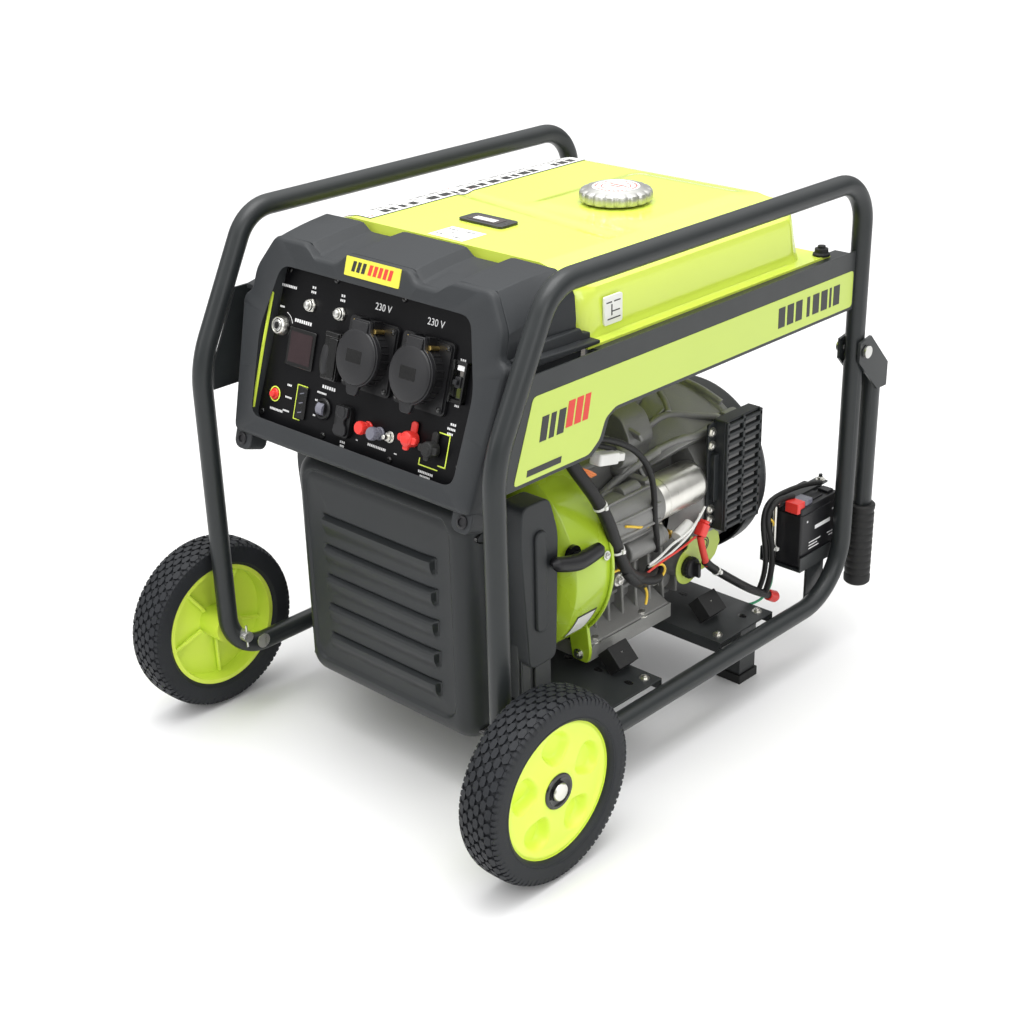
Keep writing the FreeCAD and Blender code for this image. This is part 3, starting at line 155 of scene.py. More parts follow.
# name, dark tone, light tone, roughness, and what differs from a usual surface
PAINTS = {
    "console_plastic": ("moulded charcoal plastic", (0.017, 0.019, 0.021), (0.025, 0.028, 0.031),
        0.52, {"bump": 0.5, "grain": 1400, "mottle": 14, "wear": (0.12, 0.12, 0.12),
        "wear_amount": 0.5, "distance": 0.0003, "specular": 0.35}),
    "cover_plastic": ("moulded cover plastic", (0.013, 0.015, 0.016), (0.021, 0.024, 0.026), 0.44,
        {"bump": 0.35, "grain": 1100, "mottle": 11, "distance": 0.0003, "specular": 0.35}),
    "frame_paint": ("powder coated steel", (0.012, 0.0145, 0.015), (0.019, 0.022, 0.023), 0.36,
        {"bump": 0.25, "grain": 1600, "mottle": 18, "wear": (0.16, 0.16, 0.16), "wear_amount": 0.4,
        "distance": 0.0002, "specular": 0.4}),
    "panel_black": ("printed black panel", (0.0035, 0.0035, 0.004), (0.006, 0.006, 0.007), 0.32,
        {"bump": 0.2, "grain": 2200, "mottle": 20, "distance": 0.0002, "specular": 0.12}),
    "outlet_plastic": ("black outlet plastic", (0.006, 0.006, 0.0065), (0.011, 0.011, 0.012), 0.34,
        {"bump": 0.2, "grain": 1800, "mottle": 25, "distance": 0.0002, "specular": 0.35}),
    "lid_plastic": ("grey-black lid plastic", (0.01, 0.01, 0.011), (0.016, 0.016, 0.018), 0.42,
        {"bump": 0.3, "grain": 2000, "mottle": 30, "distance": 0.0002, "specular": 0.35}),
    "lime_paint": ("lime gloss paint", (0.63, 0.76, 0.085), (0.69, 0.82, 0.105), 0.2,
        {"bump": 0.12, "grain": 240, "mottle": 5, "coat": 0.6, "spread": 0.05,
        "distance": 0.0003}),
    "shroud_paint": ("lime shroud paint", (0.36, 0.52, 0.022), (0.45, 0.62, 0.04), 0.28,
        {"bump": 0.15, "grain": 300, "mottle": 7, "coat": 0.4, "spread": 0.06,
        "distance": 0.0003}),
    "lime_plastic": ("lime rim plastic", (0.68, 0.84, 0.075), (0.74, 0.9, 0.1), 0.38,
        {"bump": 0.25, "mottle": 12, "distance": 0.0003}),
    "label_lime": ("printed lime label", (0.45, 0.57, 0.085), (0.49, 0.61, 0.1), 0.3,
        {"bump": 0.08, "grain": 700, "mottle": 6, "coat": 0.3}),
    "label_yellow": ("printed yellow label", (0.66, 0.62, 0.05), (0.72, 0.68, 0.07), 0.3,
        {"bump": 0.08, "grain": 700, "mottle": 6, "coat": 0.3}),
    "label_white": ("white label", (0.78, 0.78, 0.76), (0.86, 0.86, 0.84), 0.35, {"mottle": 12}),
    "label_ink": ("label ink", 0.012, 0.022, 0.4, {"mottle": 12}),
    "label_red": ("red ink", (0.55, 0.03, 0.02), (0.68, 0.05, 0.03), 0.4, {"mottle": 12}),
    "panel_white": ("white panel print", 0.7, 0.82, 0.45, {"bump": 0.05, "mottle": 20}),
    "tyre_rubber": ("tyre rubber", (0.01, 0.011, 0.013), (0.021, 0.023, 0.027), 0.6,
        {"bump": 0.6, "grain": 700, "mottle": 16, "distance": 0.0005, "specular": 0.3}),
    "soft_rubber": ("soft black rubber", 0.01, 0.018, 0.58, {"bump": 0.5, "mottle": 22,
        "distance": 0.0004, "specular": 0.3}),
    "cable_black": ("loom sleeve", 0.007, 0.015, 0.48, {"bump": 0.6, "grain": 600, "mottle": 40,
        "distance": 0.0005, "specular": 0.35}),
    "zinc_steel": ("zinc plated steel", (0.5, 0.5, 0.48), (0.72, 0.72, 0.69), 0.28,
        {"bump": 0.15, "grain": 500, "metallic": 1.0, "distance": 0.0002}),
    "machined_steel": ("machined steel", (0.4, 0.39, 0.36), (0.62, 0.61, 0.57), 0.34,
        {"bump": 0.2, "grain": 350, "mottle": 22, "metallic": 1.0, "distance": 0.0003,
        "stretch": (1, 6, 1)}),
    "silver_steel": ("bright starter can", (0.66, 0.65, 0.6), (0.84, 0.83, 0.78), 0.3,
        {"bump": 0.12, "grain": 250, "mottle": 14, "metallic": 1.0, "distance": 0.0002,
        "stretch": (1, 5, 1)}),
    "cast_aluminium": ("cast aluminium", (0.15, 0.15, 0.145), (0.27, 0.27, 0.26), 0.5,
        {"bump": 0.9, "grain": 420, "mottle": 12, "metallic": 0.35, "wear": (0.5, 0.5, 0.47),
        "wear_amount": 0.7, "distance": 0.0006}),
    "muffler_steel": ("heat stained steel", (0.1, 0.095, 0.09), (0.24, 0.22, 0.2), 0.45,
        {"bump": 0.4, "grain": 400, "mottle": 9, "metallic": 0.9, "distance": 0.0004}),
    "cap_metal": ("cast fuel cap", (0.42, 0.42, 0.4), (0.56, 0.56, 0.53), 0.36,
        {"bump": 0.3, "grain": 600, "mottle": 30, "metallic": 0.85, "distance": 0.0003}),
    "satin_black": ("satin black plastic", (0.008, 0.008, 0.009), (0.015, 0.015, 0.017), 0.38,
        {"bump": 0.25, "grain": 1200, "mottle": 18, "distance": 0.0002, "specular": 0.35}),
    "gauge_black": ("gloss black bezel", 0.005, 0.009, 0.18, {"bump": 0.05, "grain": 800,
        "mottle": 30, "coat": 0.5, "specular": 0.35}),
    "screen": ("dark display window", (0.018, 0.008, 0.01), (0.03, 0.014, 0.016), 0.14,
        {"bump": 0.02, "grain": 400, "mottle": 40, "coat": 0.6}),
    "signal_red": ("red plastic", (0.62, 0.025, 0.02), (0.78, 0.045, 0.035), 0.32,
        {"bump": 0.15, "mottle": 25, "distance": 0.0002}),
    "grey_plastic": ("translucent grey plastic", (0.1, 0.1, 0.13), (0.2, 0.2, 0.24), 0.3,
        {"distance": 0.0002}),
    "brass": ("brass", (0.6, 0.42, 0.12), (0.75, 0.55, 0.2), 0.3, {"grain": 500, "mottle": 50,
        "metallic": 1.0, "distance": 0.0002}),
    "wire_orange": ("orange wire", (0.7, 0.16, 0.03), (0.8, 0.24, 0.05), 0.4, {}),
    "wire_yellow": ("yellow wire", (0.7, 0.45, 0.03), (0.82, 0.56, 0.06), 0.4, {}),
    "wire_blue": ("blue wire", (0.03, 0.06, 0.3), (0.05, 0.09, 0.42), 0.4, {}),
    "wire_green": ("green wire", (0.03, 0.26, 0.12), (0.05, 0.36, 0.18), 0.4, {}),
    "wire_white": ("white wire", (0.66, 0.66, 0.63), (0.8, 0.8, 0.77), 0.4, {}),
    "floor": ("pale floor", 0.73, 0.75, 0.6, {"bump": 0.02, "grain": 60, "mottle": 2,
        "distance": 0.0002}),
}
MATERIALS = {key: textured(*paint[:4], **paint[4]) for key, paint in PAINTS.items()}


# ---------------------------------------------------------------------------------------------
# Mesh helpers
# ---------------------------------------------------------------------------------------------
CRISP_EDGE = 38                          # degrees between faces


def finish_piece(piece, body, material, slot, smooth=True, bevel=0.0, segments=3, angle=32.0):
    """Give a piece its material, soft edges and body."""
    piece.data.materials.clear()
    piece.data.materials.append(MATERIALS[material])
    if bevel:
        soft = piece.modifiers.new("soft edges", "BEVEL")
        soft.width = bevel
        soft.segments = segments
        soft.limit_method = "ANGLE"
        soft.angle_limit = math.radians(angle)
        soft.harden_normals = False
    if smooth:
        for polygon in piece.data.polygons:
            polygon.use_smooth = True
        sharp(piece, CRISP_EDGE)
    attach(piece, body)


def sharp(piece, degrees):
    """Edges steeper than this angle stay crisp."""
    mesh = piece.data
    bm = bmesh.new()
    bm.from_mesh(mesh)
    limit = math.radians(degrees)
    for edge in bm.edges:
        edge.smooth = not (len(edge.link_faces) == 2 and edge.calc_face_angle(0) > limit)
    bm.to_mesh(mesh)
    bm.free()


def mesh_piece(name, points, faces, place=None):
    mesh = bpy.data.meshes.new(name)
    mesh.from_pydata([tuple(p) for p in points], [], faces)
    bm = bmesh.new()
    bm.from_mesh(mesh)
    bmesh.ops.remove_doubles(bm, verts=bm.verts, dist=1e-6)
    bmesh.ops.recalc_face_normals(bm, faces=bm.faces)
    bm.to_mesh(mesh)
    bm.free()
    if place is not None:
        mesh.transform(place)
    mesh.update()
    piece = bpy.data.objects.new(name, mesh)
    bpy.context.scene.collection.objects.link(piece)
    return piece


def skin(rows, columns, wrap_rows=False, wrap_columns=False):
    """Faces over a grid of points kept row after row, joined round where asked."""
    faces = []
    for r in range(rows if wrap_rows else rows - 1):
        after = (r + 1) % rows
        for c in range(columns if wrap_columns else columns - 1):
            n = (c + 1) % columns
            faces.append((r * columns + c, r * columns + n, after * columns + n,
                after * columns + c))
    return faces


def border(wide, tall):
    """The places round the edge of a grid of points."""
    edge = list(range(wide)) + [r * wide + wide - 1 for r in range(1, tall)]
    edge += [(tall - 1) * wide + c for c in range(wide - 2, -1, -1)]
    return edge + [r * wide for r in range(tall - 2, 0, -1)]


def aimed(spot, axis):
    """Local Z runs along the axis from this spot."""
    return Matrix.Translation(spot) @ axis.to_track_quat("Z", "Y").to_matrix().to_4x4()


def placed(points, turn):
    """Points turned by a matrix, or moved by (across, up) or (x, y, z)."""
    if turn is None:
        return points
    if not isinstance(turn, Matrix):
        turn = Matrix.Translation((*turn, 0)[:3])
    return [turn @ p for p in points]


def hexagon(radius, turn=0):
    return [(radius * math.cos(math.radians(60 * n + turn)), radius
        * math.sin(math.radians(60 * n + turn))) for n in range(6)]


NEAR_AXIS = 0.2
BOX_FACES = [(0, 3, 2, 1), (4, 5, 6, 7), (0, 1, 5, 4), (1, 2, 6, 5), (2, 3, 7, 6), (3, 0, 4, 7)]
SIDEWAYS = Matrix(((0, 0, 1, 0), (1, 0, 0, 0), (0, 1, 0, 0), (0, 0, 0, 1)))  # outline in Y and Z
UPRIGHT = Matrix(((1, 0, 0, 0), (0, 0, -1, 0), (0, 1, 0, 0), (0, 0, 0, 1)))  # outline in X and Z


class Builder:
    """Collects simple closed shapes into one mesh, in millimetres."""

    def __init__(self):
        self.points = []
        self.faces = []

    def add(self, points, faces):
        start = len(self.points)
        self.points += [Vector(p) * MM for p in points]
        self.faces += [[start + n for n in face] for face in faces]
        return self

    def box(self, a, b):
        (x0, y0, z0), (x1, y1, z1) = a, b
        corners = [(x0, y0, z0), (x1, y0, z0), (x1, y1, z0), (x0, y1, z0), (x0, y0, z1),
            (x1, y0, z1), (x1, y1, z1), (x0, y1, z1)]
        return self.add(corners, BOX_FACES)

    def prism(self, outline, start, end, turn=None):
        """An outline in X and Y, from one height to another, turned by a matrix or moved."""
        count = len(outline)
        points = [Vector((x, y, start)) for x, y in outline]
        points += [Vector((x, y, end)) for x, y in outline]
        points = placed(points, turn)
        faces = [tuple(reversed(range(count))), tuple(range(count, 2 * count))]
        faces += [(n, (n + 1) % count, count + (n + 1) % count, count + n) for n in range(count)]
        return self.add(points, faces)

    def lathe(self, profile, turn=None, steps=48, closed=None):
        """A profile of (radius, height) turned about Z; open where it starts on the axis."""
        points = []
        for step in range(steps):
            angle = 2 * math.pi * step / steps
            points += [Vector((radius * math.cos(angle), radius * math.sin(angle), height))
                for radius, height in profile]
        if closed is None:
            closed = profile[0][0] > NEAR_AXIS
        return self.add(placed(points, turn), skin(steps, len(profile), True, closed))

    def rod(self, a, b, radius, steps=20, end_radius=None):
        a, b = Vector(a), Vector(b)
        axis = b - a
        tip = radius if end_radius is None else end_radius
        profile = [(0.0001, 0), (radius, 0), (tip, axis.length), (0.0001, axis.length)]
        return self.lathe(profile, aimed(a, axis), steps)

    def piece(self, name, material, slot=None, body="machine", place=None, node=None, **look):
        """The finished mesh on its body; it may stand for a CAD node."""
        made = mesh_piece(name, self.points, self.faces, place)
        finish_piece(made, body, material, slot or material, **look)
        if node:
            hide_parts(node)


def arc(centre, radius, start, end, steps):
    """Points of an arc, by angles in degrees."""
    spots = []
    for n in range(steps + 1):
        angle = math.radians(start + (end - start) * n / steps)
        spots.append((centre[0] + radius * math.cos(angle), centre[1] + radius * math.sin(angle)))
    return spots


def round_box(x0, y0, x1, y1, radius, steps=5):
    return (arc((x1 - radius, y0 + radius), radius, -90, 0, steps)
        + arc((x1 - radius, y1 - radius), radius, 0, 90, steps) + arc((x0 + radius, y1 - radius),
        radius, 90, 180, steps) + arc((x0 + radius, y0 + radius), radius, 180, 270, steps))


def step_up(value, start, end):
    """0 before start, 1 after end, smooth between."""
    share = min(max((value - start) / (end - start), 0.0), 1.0)
    return share * share * (3 - 2 * share)


def wire(name, route, radius, material, body="machine", order=4):
    """A smooth cable through space; the route is in millimetres."""
    curve = bpy.data.curves.new(name, "CURVE")
    curve.dimensions = "3D"
    curve.bevel_depth = radius * MM
    curve.bevel_resolution = 4
    curve.resolution_u = 10
    curve.use_fill_caps = True
    spline = curve.splines.new("NURBS")
    spline.points.add(len(route) - 1)
    for point, (x, y, z) in zip(spline.points, route):
        point.co = (x * MM, y * MM, z * MM, 1)
    spline.order_u = order
    spline.use_endpoint_u = True
    piece = bpy.data.objects.new(name, curve)
    bpy.context.scene.collection.objects.link(piece)
    curve.materials.append(MATERIALS[material])
    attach(piece, body)
    return piece


# ---------------------------------------------------------------------------------------------
# Camera, light and floor
# ---------------------------------------------------------------------------------------------
VIEW_ANGLES = (43.86, 25.86, -1.41)      # azimuth, elevation and roll, in degrees


def build_camera():
    azimuth, elevation, roll = (math.radians(degrees) for degrees in VIEW_ANGLES)
    distance = 2.2617
    target = Vector((0.12075, -0.16195, 0.306))
    back = Vector((math.sin(azimuth) * math.cos(elevation), -math.cos(azimuth)
        * math.cos(elevation), math.sin(elevation)))
    across = Vector((math.cos(azimuth), math.sin(azimuth), 0))
    up = back.cross(across)
    right = across * math.cos(roll) + up * math.sin(roll)
    top = up * math.cos(roll) - across * math.sin(roll)
    data = bpy.data.cameras.new("camera")
    data.lens = 59.95
    data.sensor_width = 36
    data.shift_x = -0.00374
    data.shift_y = 0.04428
    data.clip_end = 50
    camera = bpy.data.objects.new("camera", data)
    bpy.context.scene.collection.objects.link(camera)
    where = target + back * distance
    camera.matrix_world = Matrix(((right.x, top.x, back.x, where.x),
        (right.y, top.y, back.y, where.y), (right.z, top.z, back.z, where.z), (0, 0, 0, 1)))
    bpy.context.scene.camera = camera


def area_light(name, place, aim, size, power):
    data = bpy.data.lights.new(name, "AREA")
    data.size = size
    data.energy = power
    lamp = bpy.data.objects.new(name, data)
    bpy.context.scene.collection.objects.link(lamp)
    lamp.location = place
    lamp.rotation_euler = (Vector(aim) - Vector(place)).to_track_quat("-Z", "Y").to_euler()


def build_stage():
    builder = Builder().box((-40000, -40000, -20), (40000, 40000, 0))
    floor = mesh_piece("floor", builder.points, builder.faces)
    floor.data.materials.append(MATERIALS["floor"])
    world = bpy.data.worlds.new("studio")
    world.use_nodes = True
    nodes, links = world.node_tree.nodes, world.node_tree.links
    nodes["Background"].inputs["Strength"].default_value = 2.9
    spot = nodes.new("ShaderNodeTexCoord")
    split = nodes.new("ShaderNodeSeparateXYZ")
    sky = nodes.new("ShaderNodeValToRGB")
    sky.color_ramp.elements[0].position = 0.0
    sky.color_ramp.elements[0].color = (0.10, 0.10, 0.10, 1)
    sky.color_ramp.elements[1].position = 1.0
    sky.color_ramp.elements[1].color = (0.92, 0.92, 0.92, 1)
    for place, shade in ((0.35, 0.20), (0.7, 0.54)):
        sky.color_ramp.elements.new(place).color = (shade, shade, shade, 1)
    links.new(spot.outputs["Generated"], split.inputs[0])
    links.new(split.outputs["Z"], sky.inputs["Fac"])
    links.new(sky.outputs["Color"], nodes["Background"].inputs["Color"])
    backdrop = nodes.new("ShaderNodeBackground")
    backdrop.inputs["Strength"].default_value = 1.1
    seen = nodes.new("ShaderNodeLightPath")
    choose = nodes.new("ShaderNodeMixShader")
    links.new(seen.outputs["Is Camera Ray"], choose.inputs[0])
    links.new(nodes["Background"].outputs[0], choose.inputs[1])
    links.new(backdrop.outputs[0], choose.inputs[2])
    links.new(choose.outputs[0], nodes["World Output"].inputs["Surface"])
    bpy.context.scene.world = world
    area_light("overhead", (0.2, -0.3, 2.6), (0, 0, 0.3), 1.6, 30)
    area_light("right_window", (2.6, -1.2, 1.7), (0, 0, 0.4), 1.4, 16)
    area_light("front_window", (-1.2, -2.6, 1.5), (0, 0, 0.4), 1.2, 9)
    bpy.context.scene.view_settings.view_transform = "Standard"


# ---------------------------------------------------------------------------------------------
# Carried-over CAD nodes
# ---------------------------------------------------------------------------------------------
CAD_FINISH = {"frame_paint": ["frame_loop_left", "frame_loop_right", "side_rail_left",
    "side_rail_right", "front_base_plate", "rear_base_plate", "rear_cross_bar", "handle_arm_left",
    "handle_arm_right", "battery_mount"], "soft_rubber": ["rubber_mounts"],
    "zinc_steel": ["wheel_axles", "frame_fasteners", "choke_lever"],
    "satin_black": ["intake", "fuel_line", "fuel_tap_lever"], "cast_aluminium": ["crankcase",
    "cylinder_block", "alternator_housing"], "machined_steel": ["crankshaft"],
    "muffler_steel": ["muffler"], "panel_black": ["control_panel"], "shroud_paint": ["fan_shroud"],
    }


def dress_cad():
    """Better materials and slightly softened edges for the nodes that stay."""
    for material, nodes in CAD_FINISH.items():
        for name in nodes:
            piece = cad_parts[name]
            piece.data.materials.clear()
            piece.data.materials.append(MATERIALS[material])
            if name == "control_panel":
                continue
            weld = piece.modifiers.new("weld", "WELD")
            weld.merge_threshold = 1e-5
            soft = piece.modifiers.new("soft edges", "BEVEL")
            soft.width = 0.0009
            soft.segments = 2
            soft.limit_method = "ANGLE"
            soft.angle_limit = math.radians(40)


# ---------------------------------------------------------------------------------------------
# Console: places are (across, up the slope, out of the panel's face), in millimetres
# ---------------------------------------------------------------------------------------------
OUTLETS = (3.5, 100)
LOCK, RESET, ECO, EARTH_POST = (-170, 152), (-165, 62), (-68, 64), (58, 58)


def rounded_path(corners, radius, steps=4):
    """A closed outline with each corner cut to a small arc."""
    path = []
    count = len(corners)
    for n in range(count):
        before, here, after = (Vector((*corners[(n + k) % count], 0)) for k in (-1, 0, 1))
        back = (before - here)
        ahead = (after - here)
        reach = min(radius, back.length * 0.45, ahead.length * 0.45)
        start = here + back.normalized() * reach
        end = here + ahead.normalized() * reach
        for k in range(steps + 1):
            t = k / steps
            spot = start * (1 - t) ** 2 + here * 2 * t * (1 - t) + end * t ** 2
            path.append((spot.x, spot.y))
    return path


def ray_ring(path, centre, count):
    """The outline seen from a centre at equal angles, starting to the right."""
    ring = []
    size = len(path)
    for k in range(count):
        angle = 2 * math.pi * (k + 0.5) / count
        dx, dy = math.cos(angle), math.sin(angle)
        best = 0
        for n in range(size):
            ax, ay = path[n][0] - centre[0], path[n][1] - centre[1]
            bx, by = path[(n + 1) % size][0] - centre[0], path[(n + 1) % size][1] - centre[1]
            ex, ey = bx - ax, by - ay
            cross = dx * ey - dy * ex
            if abs(cross) < 1e-9:
                continue
            t = (ax * ey - ay * ex) / cross
            share = (ax * dy - ay * dx) / cross
            if t > 0 and -1e-6 <= share <= 1 + 1e-6:
                best = max(best, t)
        ring.append((centre[0] + dx * best, centre[1] + dy * best))
    return ring


def ring_loft(builder, rings, closed=True):
    """Joins rings of (x, y, z) points one after the other."""
    return builder.add([p for ring in rings for p in ring], skin(len(rings), len(rings[0]), closed,
        True))


BEZEL_HALF = [(222, 0), (241, 182), (227, 190), (224, 222), (196, 266), (133, 266), (119, 252),
    (71, 252), (58, 266)]
BEZEL = BEZEL_HALF + [(-x, s) for x, s in reversed(BEZEL_HALF)]
WINDOW = [(195, 22), (203, 150), (178, 237), (-178, 237), (-203, 150), (-195, 22)]
WINDOW_FOOT = [(193, 24), (199, 150), (176, 235), (-176, 235), (-199, 150), (-193, 24)]


def shrunk(corners, amount, centre=(0, 130)):
    """Corners moved towards the middle, by about this much each way."""
    moved = []
    for x, y in corners:
        moved.append((x - math.copysign(min(amount, abs(x - centre[0])), x - centre[0]),
            y - math.copysign(min(amount, abs(y - centre[1])), y - centre[1])))
    return moved


def build_bezel():
    centre = (0, 130)
    count = 360
    outer = ray_ring(rounded_path(BEZEL, 9), centre, count)
    near = ray_ring(rounded_path(shrunk(BEZEL, 2), 9), centre, count)
    face = ray_ring(rounded_path(shrunk(BEZEL, 6), 9), centre, count)
    lip = ray_ring(rounded_path(shrunk(WINDOW, -7), 16), centre, count)
    brow = ray_ring(rounded_path(shrunk(WINDOW, -3), 14), centre, count)
    mouth = ray_ring(rounded_path(shrunk(WINDOW, -1), 12), centre, count)
    foot = ray_ring(rounded_path(WINDOW_FOOT, 8), centre, count)
    rings = [(outer, -26), (outer, 9), (near, 13.5), (face, 16), (lip, 16), (brow, 14.5),
        (mouth, 11), (foot, -1), (foot, -6), (brow, -26)]
    builder = Builder()
    ring_loft(builder, [[(x, s, h) for x, s in ring] for ring, h in rings])
    for side in (LEFT, RIGHT):
        ear = round_box(190, -23, 223, 12, 12)
        if side < 0:
            ear = [(-x, s) for x, s in reversed(ear)]
        builder.prism(ear, -20, 8)
    builder.piece("console_bezel", "console_plastic", place=PANEL, node="console_housing",
        bevel=0.0012, segments=2)
    trim = Builder()
    for side in (LEFT, RIGHT):
        trim.lathe([(0.1, 8), (4.2, 8), (4.2, 5), (8.5, 5), (8.5, 9.4), (7, 10.4), (5.2, 10.4),
            (5.2, 8.6), (0.1, 8.6)], (side * 208, -9), 28)
    trim.piece("console_screws", "satin_black", "console_plastic", place=PANEL)


def hood_section(share):
    """Half of the hood across, from the foot of its side, at a share of its depth."""
    front = [(226, 150), (228, 186), (225.5, 221), (219, 232), (202, 258), (195, 265.5),
        (140, 266.5), (133, 265.5), (120, 253), (114, 251), (76, 251), (70, 253), (58, 265.5),
        (51, 266.5), (0, 266.5)]
    rear = [(237, 634), (238, 662), (236, 690), (231, 699), (214, 713), (206, 717), (140, 718),
        (133, 717), (120, 708), (114, 707), (76, 707), (70, 708), (58, 717), (51, 718), (0, 718)]
    spots = []
    for (fx, fs), (rx, rz) in zip(front, rear):
        start = PANEL @ Vector((fx * MM, fs * MM, 0.004))
        end = Vector((rx * MM, -0.170, rz * MM))
        spot = start.lerp(end, share)
        lift = math.sin(math.pi * share) * 1.5 * MM
        spots.append(Vector((spot.x, spot.y, spot.z + (lift if fx < 200 else 0))) / MM)
    return spots


def build_hood():
    stations = 10
    rows = []
    for k in range(stations + 1):
        half = hood_section(k / stations)
        row = half + [Vector((-p.x, p.y, p.z)) for p in reversed(half[:-1])]
        rows.append(row)
    inner = []
    for row in reversed(rows):
        inner.append([Vector((p.x * 0.985, p.y, p.z - 3.5)) for p in row])
    count = len(rows[0])
    points = [p for row in rows + inner for p in row]
    total = len(rows + inner)
    faces = skin(total, count, True)
    last = 2 * stations + 1
    for r in range(stations):
        a, b = r, r + 1
        c, d = last - r, last - r - 1
        faces.append((a * count, b * count, d * count, c * count))
        faces.append((a * count + count - 1, b * count + count - 1, d * count + count - 1,
            c * count + count - 1))
    hood = Builder().add(points, faces)
    hood.piece("console_hood", "console_plastic", bevel=0.0025, segments=3, angle=14)
    skirt = Builder()
    for side in (LEFT, RIGHT):
        x0, x1 = sorted((side * 226, side * 243))
        outline = [(-262, 631), (-150, 631), (-150, 641), (-163, 643), (-168, 650), (-262, 650)]
        skirt.prism(outline, x0, x1, SIDEWAYS)
        cheek = [(-318, 497), (-222, 540), (-172, 600), (-172, 634), (-282, 634), (-300, 600)]
        skirt.prism(cheek, side * 224, side * 221, SIDEWAYS)
        x0, x1 = sorted((side * 226, side * 257))
        foot = [(-276, 629.4), (-148, 629.4), (-148, 634), (-262, 639), (-276, 636)]
        skirt.prism(foot, x0, x1, SIDEWAYS)
        x0, x1 = sorted((side * 236, side * 246))
        skirt.prism([(-282, 586), (-170, 586), (-170, 636), (-276, 636)], x0, x1, SIDEWAYS)
    skirt.piece("console_skirt", "console_plastic", bevel=0.0025, segments=3)
    badge = Builder().prism(round_box(-52, 239.5, 47, 263.5, 1.5), 15.9, 17.0)
    badge.piece("console_badge", "label_yellow", "lime_paint", place=PANEL)
    for name, spots, paint in (("dark", (-40, -31, -22), "label_ink"),
            ("red", (-10, -1, 8, 17, 26), "label_red")):
        bars = Builder()
        for x in spots:
            bars.prism([(x, 246), (x + 6, 246), (x + 8.5, 259), (x + 2.5, 259)], 16.9, 17.2)
        bars.piece("badge_bars_" + name, paint, "gauge_black", place=PANEL, smooth=False)


def ribbon(builder, route, width, low, high):
    """A flat strip along an open route of (across, up) points."""
    for (ax, ay), (bx, by) in zip(route, route[1:]):
        along = Vector((bx - ax, by - ay)).normalized()
        off = Vector((-along.y, along.x)) * width / 2
        over = along * width * 0.3
        outline = [(ax - off.x - over.x, ay - off.y - over.y), (bx - off.x + over.x,
            by - off.y + over.y), (bx + off.x + over.x, by + off.y + over.y),
            (ax + off.x - over.x, ay + off.y - over.y)]
        builder.prism(outline, low, high)


def build_panel_trim():
    strips = Builder()
    ribbon(strips, [(-181, 226), (-190, 201), (-194, 120), (-195.5, 38)], 2.6, 6.5, 9.5)
    ribbon(strips, [(181, 214), (187, 194), (190, 168)], 2.8, 9.0, 12.5)
    strips.piece("panel_lime_strips", "lime_plastic", place=PANEL)
    lines = Builder()
    ribbon(lines, [(-118, 84), (-123, 84), (-123, 39), (-111, 39)], 1.2, 0, 0.5)
    ribbon(lines, [(-118, 84), (-104, 84)], 1.2, 0, 0.5)
    ribbon(lines, [(140, 84), (158, 84), (158, 44), (146, 44)], 1.4, 0, 0.5)
    ribbon(lines, [(146, 38), (114, 38), (114, 46)], 1.4, 0, 0.5)
    lines.lathe([(8.6, 0), (10.2, 0), (10.2, 0.6), (8.6, 0.6)], RESET, 40)
    lines.piece("panel_lime_lines", "lime_plastic", place=PANEL)
    marks = Builder()
    spots = [(-168, 204, 30, 3.4), (-120, 211, 8, 3), (-120, 205, 10, 3), (-64, 211, 8, 3),
        (-64, 205, 10, 3), (-131, 164, 34, 4.4), (-64, 92, 26, 4.2), (-76, 83, 18, 2.4),
        (-158, 42, 26, 3), (-139, 79, 9, 2.6), (-138, 63, 13, 2.2), (-139, 45, 13, 2.2),
        (-24, 31, 10, 3), (-24, 26, 8, 2.6), (38, 40, 34, 3.2), (1, 40, 4, 1.2), (72, 40, 5, 1.4),
        (128, 30, 26, 3), (128, 25, 18, 2.6), (158, 176, 10, 2.8), (160, 121, 8, 2.6),
        (160, 98, 10, 3), (158, 92, 14, 2.8), (157, 86, 10, 2.6), (-84, 72, 5, 2.2),
        (-84, 52, 5, 2.2), (-176, 176, 9, 2.4)]
    for x, s, wide, tall in spots:
        pieces = max(int(wide / (tall * 0.9)), 1)
        pitch = wide / pieces
        for k in range(pieces):
            start = x - wide / 2 + k * pitch
            marks.box((start, s - tall / 2, 0), (start + pitch * 0.68, s + tall / 2, 0.25))
    arc_route = arc(LOCK, 19, 20, 75, 8)
    ribbon(marks, arc_route, 0.8, 0, 0.25)
    marks.piece("panel_print", "panel_white", "panel_black", place=PANEL)
    for name, x in (("left", 10), ("right", 103)):
        curve = bpy.data.curves.new("volts_" + name, "FONT")
        curve.body = "230 V"
        curve.size = 0.0125
        curve.extrude = 0.0001
        curve.align_x = "CENTER"
        text = bpy.data.objects.new("volts_" + name, curve)
        bpy.context.scene.collection.objects.link(text)
        curve.materials.append(MATERIALS["panel_white"])
        text.matrix_world = PANEL @ Matrix.Translation((x * MM, 0.206, 0.0001))
        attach(text, "machine")


def lid_outline(x, s, radius, tab_low, hinge):
    """Round lid with a tongue below and hinge ears above."""
    points = arc((x, s), radius, 117, 252, 26)
    points += [(x - 9, tab_low + 3), (x - 6, tab_low), (x + 6, tab_low), (x + 9, tab_low + 3)]
    points += arc((x, s), radius, 288, 423, 26)
    points += [(x + 15, hinge), (x + 13, hinge + 4), (x - 13, hinge + 4), (x - 15, hinge)]
    return points


